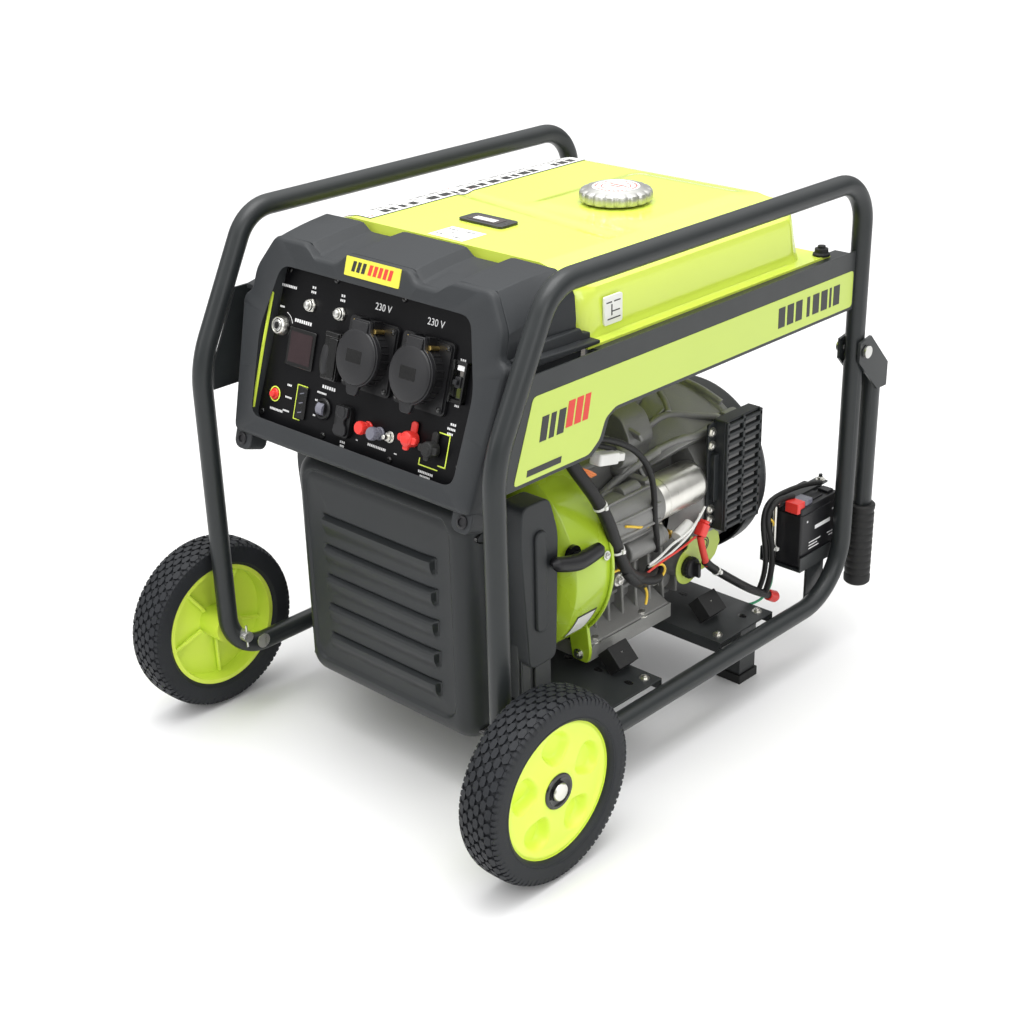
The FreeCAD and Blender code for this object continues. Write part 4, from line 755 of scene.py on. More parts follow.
def build_outlets():
    bodies = Builder()
    for x in OUTLETS:
        s = 148
        bodies.prism(round_box(x - 44.5, s - 44.5, x + 44.5, s + 44.5, 6), 0, 4)
        bodies.prism(round_box(x - 42, s - 42, x + 42, s + 42, 5), 4, 6.5)
        bodies.lathe([(22, -24), (35, -24), (36.5, 6), (35.5, 19), (34, 20), (22, 20)], (x, s), 64)
        bodies.lathe([(0.1, -24), (22, -24), (22, -21), (0.1, -21)], (x, s), 40)
        for n in range(24):
            angle = 2 * math.pi * n / 24
            bodies.rod((x + 36.2 * math.cos(angle), s + 36.2 * math.sin(angle), 6),
                (x + 35.4 * math.cos(angle), s + 35.4 * math.sin(angle), 18), 1.3, 8)
        bodies.box((x - 16, s + 30, 6), (x - 9, s + 46, 20))
        bodies.box((x + 9, s + 30, 6), (x + 16, s + 46, 20))
    bodies.prism(round_box(-75, 103, -45, 165, 4), 0, 8)
    bodies.prism(round_box(-39, 38, -11, 78, 6), 0, 6)
    bodies.piece("outlet_housings", "outlet_plastic", "console_plastic", place=PANEL,
        node="outlet_bodies", bevel=0.0008, segments=2)
    # Dark discs on the socket floor where the pin holes are: painted shade in the holes.
    pin_hole_shade = Builder()
    for x in OUTLETS:
        for dx in (-9.5, 9.5):
            pin_hole_shade.rod((x + dx, 148, -21), (x + dx, 148, -20.4), 2.6, 16)
    pin_hole_shade.piece("outlet_pin_hole_shade", "gauge_black", place=PANEL)
    screws = Builder()
    for x in OUTLETS:
        for dx, ds in ((37, 37), (37, -37), (-37, -37)):
            screws.lathe([(0.1, 6.5), (2.6, 6.5), (3.2, 7.2), (3.2, 7.8), (2, 8.6), (0.1, 8.6)],
                (x + dx, 148 + ds), 16)
    screws.piece("outlet_flange_screws", "gauge_black", place=PANEL)
    hinges = Builder()
    for x in OUTLETS:
        hinges.rod((x + 19, 182, 6), (x + 19, 182, 21), 3.1, 16)
        hinges.rod((x - 18, 189, 22), (x - 14, 189, 22), 2.2, 12)
    hinges.piece("outlet_hinge_screws", "brass", "zinc_steel", place=PANEL)
    for name, x in zip(("left", "right"), OUTLETS):
        lid = Builder()
        lid.prism(lid_outline(x, 146, 37, 98.5, 189), 20.6, 26.5)
        lid.lathe([(0.1, 26.4), (35.5, 26.4), (34.5, 28.8), (31.5, 30.2), (12, 30.9), (0.1, 30.9)],
            (x, 146), 64)
        lid.prism([(x - 13, 172), (x + 13, 172), (x + 14, 191), (x - 14, 191)], 26, 29)
        lid.piece("outlet_cover_" + name, "lid_plastic", "console_plastic",
            body="outlet_lid_" + name, place=PANEL, node="outlet_lid_" + name, bevel=0.0009,
            segments=2)
        inset = Builder()
        inset.prism(round_box(x - 14, 139, x + 13, 155, 1.5), 30.4, 31.0)
        inset.piece("outlet_cover_inset_" + name, "gauge_black", body="outlet_lid_" + name,
            place=PANEL)
    small = Builder()
    small.prism([(-73.5, 104), (-46.5, 104), (-46.5, 160), (-48, 165), (-72, 165), (-73.5, 160)],
        8.4, 11)
    small.prism(round_box(-62, 106, -47.5, 158, 3), 10.8, 14)
    small.prism(round_box(-72, 158.5, -48, 165, 2), 10.8, 13.6)
    small.piece("small_cover", "gauge_black", "console_plastic", body="small_outlet_lid",
        place=PANEL, node="small_outlet_lid", bevel=0.0009, segments=3)
    dome = Builder()
    dome.lathe([(0.1, 8.4), (23, 8.4), (22, 10), (16, 12), (0.1, 12.8)],
        Matrix.Translation((-70, 128, 0)) @ Matrix.Diagonal((0.42, 1, 1, 1)), 40)
    dome.piece("small_cover_bulge", "lid_plastic", "console_plastic", body="small_outlet_lid",
        place=PANEL)
    direct = Builder()
    waist = [(-36, 77), (-36, 66), (-31.5, 61), (-31.5, 56), (-36, 51), (-37, 44), (-33, 40),
        (-17, 40), (-13, 44), (-14, 51), (-18.5, 56), (-18.5, 61), (-14, 66), (-14, 77)]
    direct.prism(waist, 6.3, 10)
    direct.lathe([(0.1, 10), (8, 10), (7, 11), (0.1, 11)], (-25, 70), 24)
    direct.piece("direct_cover", "lid_plastic", "console_plastic", body="dc_outlet_cover",
        place=PANEL, node="dc_outlet_cover", bevel=0.0008, segments=2)


def build_switches():
    chrome = Builder()
    chrome.lathe([(9, 0), (13, 0), (13, 3), (11.8, 8.5), (10.4, 10.6), (9, 10.6), (8, 8), (8, 0)],
        LOCK, 48)
    for x, s in ((-120, 188), (-63, 188)):
        chrome.prism(hexagon(9.2, 10), 0, 3.2, (x, s))
        chrome.lathe([(5.2, 3), (8, 3), (8, 4.4), (7.1, 5), (7.1, 7.8), (6.4, 8.4), (5.2, 8.4)],
            (x, s), 32)
    chrome.lathe([(0.1, 0), (7.4, 0), (7.4, 1), (3, 1), (3, 12), (2.4, 12.8), (0.1, 12.8)],
        EARTH_POST, 24)
    chrome.prism(hexagon(6), 1, 5.4, EARTH_POST)
    chrome.piece("panel_plated_pieces", "silver_steel", "zinc_steel", place=PANEL,
        node="panel_hardware", bevel=0.0003, segments=2)
    spots = [(-171, 226), (-80, 228), (45, 228), (168, 226), (-62, 31), (64, 31), (180, 52),
        (-185, 34)]
    screws = Builder()
    for x, s in spots:
        screws.lathe([(0.1, 1.1), (1.3, 1.1), (1.5, 2.3), (3.6, 2), (4.5, 0.6), (4.5, 0)], (x, s),
            20)
    screws.piece("panel_screws", "gauge_black", "zinc_steel", place=PANEL)
    core = Builder()
    core.lathe([(0.1, 2), (7.7, 2), (7.7, 10.2), (6.8, 11), (0.1, 11)], LOCK, 40)
    core.piece("key_core", "zinc_steel", body="ignition_key", place=PANEL, node="ignition_key")
    # A dark slit and disc on the key core's face: painted shade of the keyway opening.
    slit = Builder()
    slit.box((-171, 147.5, 10.6), (-169, 156.5, 11.4))
    slit.lathe([(0.1, 10.7), (4.6, 10.7), (4.6, 11.2), (0.1, 11.2)], LOCK, 24)
    slit.piece("keyway_shade", "gauge_black", body="ignition_key", place=PANEL)
    for name, x in (("left", -120), ("right", -63)):
        button = Builder()
        button.lathe([(0.1, -8), (4.9, -8), (4.9, 10.6), (4, 11.6), (1.8, 12), (0.1, 12)],
            (x, 188), 28)
        button.piece("trip_button_" + name, "zinc_steel", "panel_black",
            body="breaker_button_" + name, place=PANEL, node="breaker_button_" + name)
    red = Builder()
    red.lathe([(0.1, -9), (4.9, -9), (4.9, 5.4), (4, 6.8), (0.1, 7)], RESET, 28)
    red.piece("reset_cap", "signal_red", body="reset_button", place=PANEL, node="reset_button")
    collar = Builder()
    collar.lathe([(5.1, 0), (7.6, 0), (7.6, 2), (6.6, 3.2), (5.1, 3.2)], RESET, 32)
    collar.piece("reset_collar", "signal_red", place=PANEL)
    shade = Builder()
    shade.prism(round_box(-153, 105, -101, 155, 2.5), 0, 2.6)
    shade.prism(round_box(-119, 41, -101, 83, 2), 0, 3)
    shade.piece("display_frames", "gauge_black", place=PANEL, node="panel_displays", bevel=0.0006,
        segments=2)
    glass = Builder()
    glass.prism(round_box(-148, 110, -106, 150, 1.5), 2.4, 3.1)
    glass.piece("display_window", "screen", "gauge_black", place=PANEL)
    lens = Builder()
    for s in (49.5, 62, 74.5):
        lens.prism([(-113.5, s - 1.6), (-106.5, s + 0.6), (-106.5, s + 2), (-113.5, s - 0.2)], 3,
            3.3)
    lens.piece("lamp_windows", "grey_plastic", "gauge_black", place=PANEL)
    ring = Builder()
    ring.lathe([(10.5, 0), (14.2, 0), (14.2, 2.4), (12.8, 4), (10.5, 4)], ECO, 40)
    ring.lathe([(0.1, 0), (10.5, 0), (10.5, 1.2), (0.1, 1.2)], ECO, 30)
    ring.piece("eco_ring", "outlet_plastic", "console_plastic", place=PANEL)
    rocker = Builder()
    outline = [(y, x) for x, y in arc((0, 0), 8.9, 28, 152, 14)]
    side_on = Matrix(((0, 0, 1, -68), (0, 1, 0, 64), (1, 0, 0, 1.5), (0, 0, 0, 1)))
    rocker.prism(outline, -5.9, 5.9, side_on)
    rocker.piece("eco_rocker", "grey_plastic", "console_plastic", body="eco_switch", place=PANEL,
        node="eco_switch", bevel=0.0005, segments=2)
    for name, x, s, paint in (("red", 18, 60, "signal_red"), ("black", 40, 58, "grey_plastic")):
        post = Builder()
        post.lathe([(0.1, 0.5), (8.4, 0.5), (8.4, 2), (7.2, 3), (7.4, 8), (6.4, 8.6), (6.6, 9.6),
            (8, 10.4), (8.2, 16), (7.4, 18.2), (0.1, 18.2)], (x, s), 40)
        for n in range(14):
            angle = 2 * math.pi * n / 14
            post.rod((x + 7.8 * math.cos(angle), s + 7.8 * math.sin(angle), 10.6),
                (x + 7.8 * math.cos(angle), s + 7.8 * math.sin(angle), 17), 0.8, 8)
        post.piece("post_" + name, paint, "signal_red" if name == "red" else "panel_black",
            body="terminal_" + name, place=PANEL, node="terminal_" + name)
    for name, x, s, paint in (("red", 100, 66, "signal_red"), ("black", 137, 62, "soft_rubber")):
        cap = Builder()
        cap.lathe([(0.1, 1), (10, 1), (10, 14.5), (8.6, 17.2), (0.1, 18)], (x, s), 40)
        cap.prism(round_box(x - 5, s + 2, x + 5, s + 22, 4.5), 1.2, 5)
        cap.prism(round_box(x - 16, s - 4.6, x + 16, s + 4.6, 3.5), 10, 15)
        cap.prism(round_box(x - 4.4, s - 14, x + 4.4, s + 4, 3), 10.4, 15.2)
        cap.prism(round_box(x - 6.5, s - 6, x + 6.5, s + 3, 2.6), 16, 18.4)
        cap.piece("link_cap_" + name, paint, "signal_red" if name == "red" else "soft_rubber",
            body="parallel_cover_" + name, place=PANEL, node="parallel_cover_" + name,
            bevel=0.0012, segments=3)
    guard = Builder()
    for x0, x1 in ((148.5, 151.4), (168.6, 171.5)):
        guard.prism(round_box(x0, 124.5, x1, 175.5, 1.2), 0, 7.5)
    for s0, s1 in ((124.5, 128.8), (171.2, 175.5)):
        guard.prism(round_box(148.5, s0, 171.5, s1, 1.2), 0, 5)
    guard.piece("breaker_frame", "gauge_black", place=PANEL, bevel=0.0008, segments=2)
    flag = Builder().box((154, 164, 3.2), (166, 170, 3.8))
    flag.piece("breaker_mark", "panel_white", "panel_black", place=PANEL)
    lever = Builder()
    lever.prism([(155.2, 143.4), (164.8, 143.4), (164.8, 156.6), (155.2, 156.6)], -5.8, 7)
    lever.prism([(156.5, 147), (163.5, 147), (163.5, 153), (156.5, 153)], 6.8, 12.4)
    lever.piece("breaker_toggle", "satin_black", "console_plastic", body="main_breaker_lever",
        place=PANEL, node="main_breaker_lever", bevel=0.0012, segments=2)


# ---------------------------------------------------------------------------------------------
# Lower cover
# ---------------------------------------------------------------------------------------------
COVER_HALF, COVER_LOW, COVER_HIGH = 168.0, 88.0, 425.0
COVER_FRONT, COVER_REAR, COVER_ROUND = -299.0, -218.0, 32.0


def edge_distance(x, z, half_x, half_z, radius):
    """Distance inside a rounded rectangle about the origin; negative outside."""
    qx = abs(x) - (half_x - radius)
    qz = abs(z) - (half_z - radius)
    outside = math.hypot(max(qx, 0), max(qz, 0))
    return radius - outside - min(max(qx, qz), 0)


def louvre(x, z):
    """Five ribs with a step at the top that slope back below, and a groove round them."""
    relief = 0
    for n in range(5):
        top = 168 + 45 * n
        inside = step_up(106 - abs(x), 0, 2.5)
        t = top - z
        if -3 < t < 0:
            relief -= 2.6 * step_up(t, -3, -1.5) * step_up(108 - abs(x), 0, 2)
        if 0 <= t < 30:
            rise = step_up(t, -0.5, 3.2)
            relief += 6.5 * inside * rise * (1 - step_up(t, 9, 30))
        if 104 < x < 111 and -3 < t < 22:
            relief -= 2.2 * step_up(x, 105.5, 107) * (1 - step_up(x, 108, 110)) * step_up(22 - t,
                0, 4)
    return relief


def cover_depth(x, z):
    """Front surface of the cover: rounded edges, a border, and a pillowed panel inside it."""
    middle_z = (COVER_LOW + COVER_HIGH) / 2
    half_z = (COVER_HIGH - COVER_LOW) / 2
    d = edge_distance(x, z - middle_z, COVER_HALF, half_z, 34)
    d = max(d, 0)
    fall = 0
    if d < COVER_ROUND:
        fall = COVER_ROUND - math.sqrt(COVER_ROUND ** 2 - (COVER_ROUND - d) ** 2)
    tray = edge_distance(x + 4, z - 264, 142, 146, 24)
    step = 4.2 * step_up(tray, 0, 5)
    pillow = 3.4 * step_up(tray, 4, 60)
    return COVER_FRONT + fall + step - pillow - louvre(x, z) * step_up(tray, 6, 12)


def spread(low_end, high_end, count, dense):
    """Positions between two ends, closer together near both ends."""
    spots = []
    for n in range(count):
        t = n / (count - 1)
        bent = 0.5 - 0.5 * math.cos(math.pi * t)
        spots.append(low_end + (high_end - low_end) * (t * (1 - dense) + bent * dense))
    return spots


def build_cover():
    xs = spread(-COVER_HALF, COVER_HALF, 150, 0.55)
    zs = spread(COVER_LOW, COVER_HIGH, 250, 0.35)
    middle_z = (COVER_LOW + COVER_HIGH) / 2
    half_z = (COVER_HIGH - COVER_LOW) / 2
    points = []
    for z in zs:
        for x in xs:
            px, pz = x, z - middle_z
            cx, cz = COVER_HALF - 34, half_z - 34
            if abs(px) > cx and abs(pz) > cz:
                away = Vector((abs(px) - cx, abs(pz) - cz))
                if away.length > 34:
                    away = away.normalized() * 34
                px = math.copysign(cx + away.x, px)
                pz = math.copysign(cz + away.y, pz)
            points.append((px, cover_depth(px, pz + middle_z), pz + middle_z))
    wide, tall = len(xs), len(zs)
    faces = skin(tall, wide)
    rim = border(wide, tall)
    walls = []
    for depth, inset in ((COVER_REAR, 0), (COVER_REAR, 3), (-260, 3)):
        start = len(points)
        for n in rim:
            x, _, z = points[n]
            dx = -math.copysign(min(inset, abs(x)), x)
            dz = -math.copysign(inset, z - middle_z)
            points.append((x + dx, depth, z + dz))
        walls.append(list(range(start, start + len(rim))))
    chain = [rim] + walls
    for ring, after in zip(chain, chain[1:]):
        for n in range(len(rim)):
            m = (n + 1) % len(rim)
            faces.append((ring[n], ring[m], after[m], after[n]))
    cover = Builder().add(points, faces)
    cover.piece("lower_cover_shell", "cover_plastic", "console_plastic", node="lower_cover")
    # The bolt recesses are coloured darker than the cover plastic: painted shade in the recesses.
    dents = Builder()
    for z in (388, 108):
        for side in (LEFT, RIGHT):
            place = Matrix.Translation((side * 150, -262, z)) @ SIDEWAYS
            place = place @ Matrix.Diagonal((1.5, 0.62, 1, 1))
            dents.lathe([(0.1, 0), (9, 0), (11, 4), (12, 19), (13.4, 19.4), (13.6, 18), (12.6, -1),
                (0.1, -2)] if side > 0 else [(0.1, 0), (9, 0), (11, -4), (12, -19), (13.4, -19.4),
                (13.6, -18), (12.6, 1), (0.1, 2)], place, 36)
    dents.piece("shaded_cover_bolt_recesses", "gauge_black", "console_plastic")


# ---------------------------------------------------------------------------------------------
# Fuel tank
# ---------------------------------------------------------------------------------------------
CAP_X, CAP_Y = 65.0, 107.0


def tank_height(x, y):
    """Height of the pressed shell above a place."""
    flange = 629.0
    side = 238.5 - abs(x)
    rear = 303 - y
    corner = 34.0
    qx = abs(x) - (238.5 - corner)
    qy = abs(y - 67.7) - (235.3 - corner)
    outside = math.hypot(max(qx, 0), max(qy, 0))
    d = corner - outside - min(max(qx, qy), 0)
    if d <= 0:
        return flange
    wall = 629 + 58 * math.sqrt(max(1 - (1 - min(d / 6, 1)) ** 2, 0)) * 0.62 + 22 * step_up(d, 0,
        7)
    brow = 688 + 28 * (1 - (1 - min(max(side - 3, 0) / 62, 1)) ** 1.7)
    tail = 690 + 26 * (1 - (1 - min(max(rear - 3, 0) / 20, 1)) ** 2)
    top = min(brow, tail)
    ramp = min(wall, top) if d < 7 else top
    bed = 1.6 * step_up(side, 58, 70)
    near_cap = math.hypot(x - CAP_X, y - CAP_Y)
    seat = 4.4 * (1 - step_up(near_cap, 58, 76))
    plateau = 2.6 * step_up(x, -40, -10) * step_up(y, 20, 60) * step_up(side, 62,
        84) * step_up(rear, 26, 60)
    gutter = -2.0 * (1 - step_up(abs(y - 8 + 0.15 * x), 4, 16)) * step_up(side, 66, 84)
    calm = step_up(near_cap, 60, 110)
    return ramp + (bed - 1.6) + max(seat, plateau * 1.5) + gutter * calm * 1.2


def drape(name, outline, material, slot, lift=0.35, step=6.0):
    """A thin label that follows the tank; its outline is in across and along."""
    xs = [p[0] for p in outline]
    ys = [p[1] for p in outline]
    wide = max(int((max(xs) - min(xs)) / step), 2)
    long = max(int((max(ys) - min(ys)) / step), 2)
    spots = [(min(xs) + (max(xs) - min(xs)) * (c / wide), min(ys) + (max(ys) - min(ys))
        * (r / long)) for r in range(long + 1) for c in range(wide + 1)]
    points = [(x, y, tank_height(x, y) + lift) for x, y in spots]
    sheet = Builder().add(points, skin(long + 1, wide + 1))
    return sheet.piece(name, material, slot)


def printed(builder, a, b, lift):
    """A flat mark on the tank between two corners."""
    corners = ((a[0], a[1]), (b[0], a[1]), (b[0], b[1]), (a[0], b[1]))
    builder.add([(x, y, tank_height(x, y) + lift) for x, y in corners], [(0, 1, 2, 3)])


def build_tank():
    xs = [-255, -246]
    xs += [-238.5 + t for t in (-0.6, 0.01, 0.15, 0.5, 1.1, 2, 3, 4.2, 5.6, 7.2, 9, 12, 16, 21)]
    xs += [-212 + 4.2 * n for n in range(1, 50)]
    xs = sorted(set([round(x, 3) for x in xs if x < 0] + [round(-x, 3) for x in xs if x < 0]))
    ys = [-168, -167.4, -167, -166, -164.5, -162.5, -160, -156, -150]
    ys += [-150 + 6 * n for n in range(1, 74)]
    ys += [297, 299, 300.5, 301.6, 302.4, 303.2, 308, 342]
    ys = [y for y in ys if y <= 290] + [y for y in ys if y > 292]
    points = [(x, y, tank_height(x, y)) for y in ys for x in xs]
    wide, tall = len(xs), len(ys)
    faces = skin(tall, wide)
    start = len(points)
    rim = border(wide, tall)
    points += [(points[n][0], points[n][1], 626) for n in rim]
    for n in range(len(rim)):
        m = (n + 1) % len(rim)
        faces.append((rim[n], rim[m], start + m, start + n))
    faces.append(tuple(start + n for n in range(len(rim))))
    tank = Builder().add(points, faces)
    tank.piece("tank_shell", "lime_paint", node="fuel_tank")
    drape("tank_label", [(-29, -154), (33, -109)], "label_white", "lime_paint")
    drape("tank_side_strip", [(-206, -150), (-142, 290)], "label_ink", "lime_paint", 0.3)
    drape("tank_side_strip_face", [(-204, -148), (-144, 288)], "label_white", "lime_paint", 0.6)
    ink = Builder()
    random.seed(11)
    y = -140
    while y < 278:
        wide = random.choice((9, 12, 15, 18))
        for k in range(3):
            x0 = -199 + k * 18
            if random.random() < 0.72:
                printed(ink, (x0, y), (x0 + 14, y + wide), 0.85)
        y += wide + random.choice((4, 6, 9))
    ink.piece("tank_strip_marks", "label_ink", "lime_paint")
    red = Builder()
    for y0, y1 in ((-146, -134), (44, 52)):
        printed(red, (-198, y0), (-150, y1), 1.0)
    red.piece("tank_strip_red", "label_red", "signal_red")
    text = Builder()
    for x, y, wide, tall in ((-16, -120, 16, 2), (12, -118, 18, 2), (-18, -144, 12, 2),
            (14, -145, 14, 2), (-6, -131, 8, 1.6)):
        printed(text, (x - wide / 2, y - tall / 2), (x + wide / 2, y + tall / 2), 0.6)
    text.piece("tank_label_marks", "label_ink", "lime_paint")
    plate = Builder()
    plate.prism(round_box(-122, 640, -88, 676, 3), 238.0, 240.6, SIDEWAYS)
    plate.piece("tank_side_label", "label_white", "lime_paint")
    marks = Builder()
    for y, z, wide, tall in ((-113, 668, 10, 1.5), (-98, 668, 12, 1.5), (-108, 658, 2, 14),
            (-100, 656, 14, 1.5), (-104, 647, 24, 1.5)):
        marks.prism([(y - wide / 2, z - tall / 2), (y + wide / 2, z - tall / 2),
            (y + wide / 2, z + tall / 2), (y - wide / 2, z + tall / 2)], 240.5, 240.9, SIDEWAYS)
    marks.piece("tank_side_label_marks", "label_ink", "lime_paint")
    studs = Builder()
    for side in (LEFT, RIGHT):
        studs.lathe([(0.1, 629), (12, 629), (12, 632), (9.6, 634), (9.4, 639), (5.5, 640),
            (5.5, 643), (0.1, 643.4)], (side * 247, 332), 28)
    studs.piece("tank_bushes", "soft_rubber")


def build_cap():
    points = []
    rings = [(0.1, 722.6), (44, 722.6), (48.4, 724.4), (49.6, 727), (49.8, 733), (48.6, 737),
        (45, 739.4), (40, 740), (37.4, 741.6), (35.4, 742.6), (33.8, 742.4), (33, 741.4),
        (0.1, 741.2)]
    steps = 216
    for step in range(steps):
        angle = 2 * math.pi * step / steps
        for radius, z in rings:
            dip = 0
            if radius > 43 and z > 723:
                wave = 0.5 - 0.5 * math.cos(angle * 18)
                dip = 2.6 * wave ** 3
            points.append((CAP_X + (radius - dip) * math.cos(angle),
                CAP_Y + (radius - dip) * math.sin(angle), z))
    faces = skin(steps, len(rings), True)
    Builder().add(points, faces).piece("cap_body", "cap_metal", body="fuel_cap", node="fuel_cap")
    place = Matrix.Translation((CAP_X, CAP_Y, 0))
    Builder().lathe([(0.1, 741), (32.4, 741), (32.4, 741.7), (0.1, 741.7)], place,
        64).piece("cap_disc", "label_white", "cap_metal", body="fuel_cap")
    ring = Builder()
    for n in range(30):
        if n % 10 != 9:
            start = 12 * n
            outline = arc((0, 0), 29, start, start + 7, 2) + arc((0, 0), 26.4, start + 7, start, 2)
            ring.prism(outline, 741.6, 741.95, place)
    ring.lathe([(19, 741.6), (20.4, 741.6), (20.4, 741.95), (19, 741.95)], place, 48)
    ring.box((CAP_X - 14, CAP_Y + 4, 741.6), (CAP_X + 14, CAP_Y + 7, 741.95))
    ring.box((CAP_X - 11, CAP_Y - 3, 741.6), (CAP_X + 11, CAP_Y - 0.5, 741.95))
    ring.piece("cap_marks", "label_red", "signal_red", body="fuel_cap")
    gauge = Builder().prism(round_box(-48, -82, 32, -46, 7), 714, 719.4)
    gauge.lathe([(0.1, 719.2), (4.4, 719.2), (3.6, 720), (0.1, 720)], (25, -64), 20)
    gauge.piece("gauge_frame", "gauge_black", node="fuel_gauge", bevel=0.0016, segments=3)
    Builder().prism(round_box(-38, -75, 16, -53, 2), 719.2, 719.7).piece("gauge_window", "screen",
        "gauge_black")
    Builder().prism(round_box(-30, -71, 8, -60, 1), 719.6, 719.9).piece("gauge_card",
        "label_white", "gauge_black")
    needle = Builder().prism([(-12, -70), (-10.6, -70), (-7, -62), (-8.4, -62)], 719.85, 720)
    for x in (-26, -17, -8, 1):
        needle.box((x, -63, 719.85), (x + 1.2, -61, 720))
    needle.piece("gauge_marks", "label_ink", "gauge_black")


# ---------------------------------------------------------------------------------------------
# Side labels: blank lime panels with plain bars
# ---------------------------------------------------------------------------------------------
LABEL = [(-286, 604), (-323, 503), (-190, 503), (-170, 517), (-159, 541), (-140, 551), (374, 551),
    (374, 603)]


def build_labels():
    for name, side in SIDES:
        turn = Matrix(((0, 0, side, 0), (1, 0, 0, 0), (0, 1, 0, 0), (0, 0, 0, 1)))
        face = Builder().prism(rounded_path(LABEL, 6, 3), 273.9, 274.5, turn)
        face.piece("rail_label_" + name, "label_lime", "lime_paint", smooth=False)
        bars = Builder()
        lean = 0.22
        for y, z, wide, tall in ((-278, 546, 12, 30), (-262, 546, 9, 30), (-248, 546, 12, 30),
                (-301, 509, 60, 8)):
            bars.prism([(y, z), (y + wide, z), (y + wide + lean * tall, z + tall),
                (y + lean * tall, z + tall)], 274.4, 274.8, turn)
        for y, wide in ((196, 15), (216, 15), (236, 15), (262, 7), (276, 15), (296, 15), (316, 5),
                (326, 15)):
            bars.prism([(y, 563), (y + wide, 563), (y + wide, 591), (y, 591)], 274.4, 274.8, turn)
        bars.piece("rail_bars_" + name, "label_ink", "gauge_black", smooth=False)
        red = Builder()
        for y, wide in ((-232, 12), (-217, 12), (-202, 10)):
            red.prism([(y, 550), (y + wide, 550), (y + wide + 7, 582), (y + 7, 582)], 274.4, 274.8,
                turn)
        red.piece("rail_red_" + name, "label_red", "signal_red", smooth=False)


# ---------------------------------------------------------------------------------------------
# Wheels: drawn about the axle, with X outwards, then placed
# ---------------------------------------------------------------------------------------------
WHEEL_Y, WHEEL_Z, WHEEL_X = -338.0, 127.0, 330.0


def wheel_place(side):
    """Local Z runs outwards along the axle, local X to the rear."""
    return Matrix(((0, 0, side, side * WHEEL_X * MM), (1, 0, 0, WHEEL_Y * MM),
        (0, 1, 0, WHEEL_Z * MM), (0, 0, 0, 1)))


def around(radius, angle, out):
    return (radius * math.cos(angle), radius * math.sin(angle), out)


def tread_radius(out):
    """The tyre's outer surface across its width."""
    share = min(abs(out) / 29.5, 1)
    return 127 - 1.2 * share ** 2 - 6.2 * share ** 5


def tread_block(builder, shape, drop, shift):
    """One raised block from an outline of (along the tread in degrees, out)."""
    top, low = [], []
    for angle, out in shape:
        a = math.radians(angle + shift)
        crown = tread_radius(out)
        top.append(around(crown, a, out))
        low.append(around(crown - drop, a, out))
    count = len(shape)
    faces = [tuple(range(count))]
    faces += [(n, (n + 1) % count, count + (n + 1) % count, count + n) for n in range(count)]
    builder.add(top + low, faces)


def build_tyre(name, side):
    carcass = Builder()
    profile = [(91.9, -24), (97, -29), (112, -30), (118.5, -29), (121, -27)]
    profile += [(tread_radius(out) - 3.2, out) for out in (-24, -20, -14, -7, 0, 7, 14, 20, 24)]
    profile += [(121, 27), (118.5, 29), (112, 30), (106, 29.4), (100, 30), (98.6, 29.2),
        (97.2, 30), (93.5, 27.5), (91.9, 24)]
    carcass.lathe(profile, None, 144)
    rows = [(-21.2, 8.2, 0.0), (-12.8, 8.2, 0.5), (-4.3, 8.2, 0.0), (4.3, 8.2, 0.5),
        (12.8, 8.2, 0.0), (21.2, 8.2, 0.5)]
    count = 44
    pitch = 360 / count
    for out, wide, shift in rows:
        flip = 1 if shift else -1
        half = wide / 2
        for n in range(count):
            base = (n + shift) * pitch
            long = pitch * 0.415
            shape = [(-long * 0.62, -half), (long * 0.62, -half), (long, -half * 0.1),
                (long * 0.55, half * 0.9), (-long * 0.55, half * 0.9), (-long, half * 0.1)]
            shape = [(a, out + b * flip) for a, b in shape]
            tread_block(carcass, shape, 3.4, base)
    for n in range(88):
        angle = n * 360 / 88
        for face in (-1, 1):
            wide = 1.45 if n % 2 else 1.2
            inner = 110.5 if n % 2 else 113.5
            a0, a1 = math.radians(angle - wide), math.radians(angle + wide)
            b0, b1 = math.radians(angle - wide * 0.7), math.radians(angle + wide * 0.7)
            top = tread_radius(25.5)
            points = [around(top, a0, face * 25.6), around(top, a1, face * 25.6),
                around(tread_radius(29) + 0.6, a1, face * 29.2), around(tread_radius(29) + 0.6, a0,
                face * 29.2), around(inner, b0, face * 30), around(inner, b1, face * 30),
                around(top - 4, a0, face * 24), around(top - 4, a1, face * 24),
                around(inner, b0, face * 28.5), around(inner, b1, face * 28.5)]
            carcass.add(points, [(0, 1, 2, 3), (3, 2, 5, 4), (0, 6, 7, 1), (4, 5, 9, 8),
                (0, 3, 4, 8, 6), (1, 7, 9, 5, 2), (6, 8, 9, 7)])
    carcass.piece("tread_" + name, "tyre_rubber", body="wheel_" + name, place=wheel_place(side),
        node="tyre_" + name)


def rim_depth(radius, angle):
    """Outer face of the rim: a shallow dish with five scooped pockets."""
    base = 20.5 + 2.0 * step_up(radius, 78, 88) - 1.2 * step_up(radius, 30, 60)
    base += 1.6 * (1 - step_up(radius, 24, 30))
    base -= 0.8 * step_up(radius, 88.5, 91)
    turn = 2 * math.pi / 5
    local = (angle - math.pi / 2 + turn / 2) % turn - turn / 2
    across = local * radius
    half = 14.5 + 14.0 * step_up(radius, 36, 72)
    u = across / half
    v = (radius - 58.5) / 23.5
    reach = (abs(u) ** 2.3 + abs(v) ** 2.3) ** (1 / 2.3)
    scoop = 1 - step_up(reach, 0.62, 1.0)
    deep = 13.5 + 5.5 * u * 0.8
    return base - deep * scoop


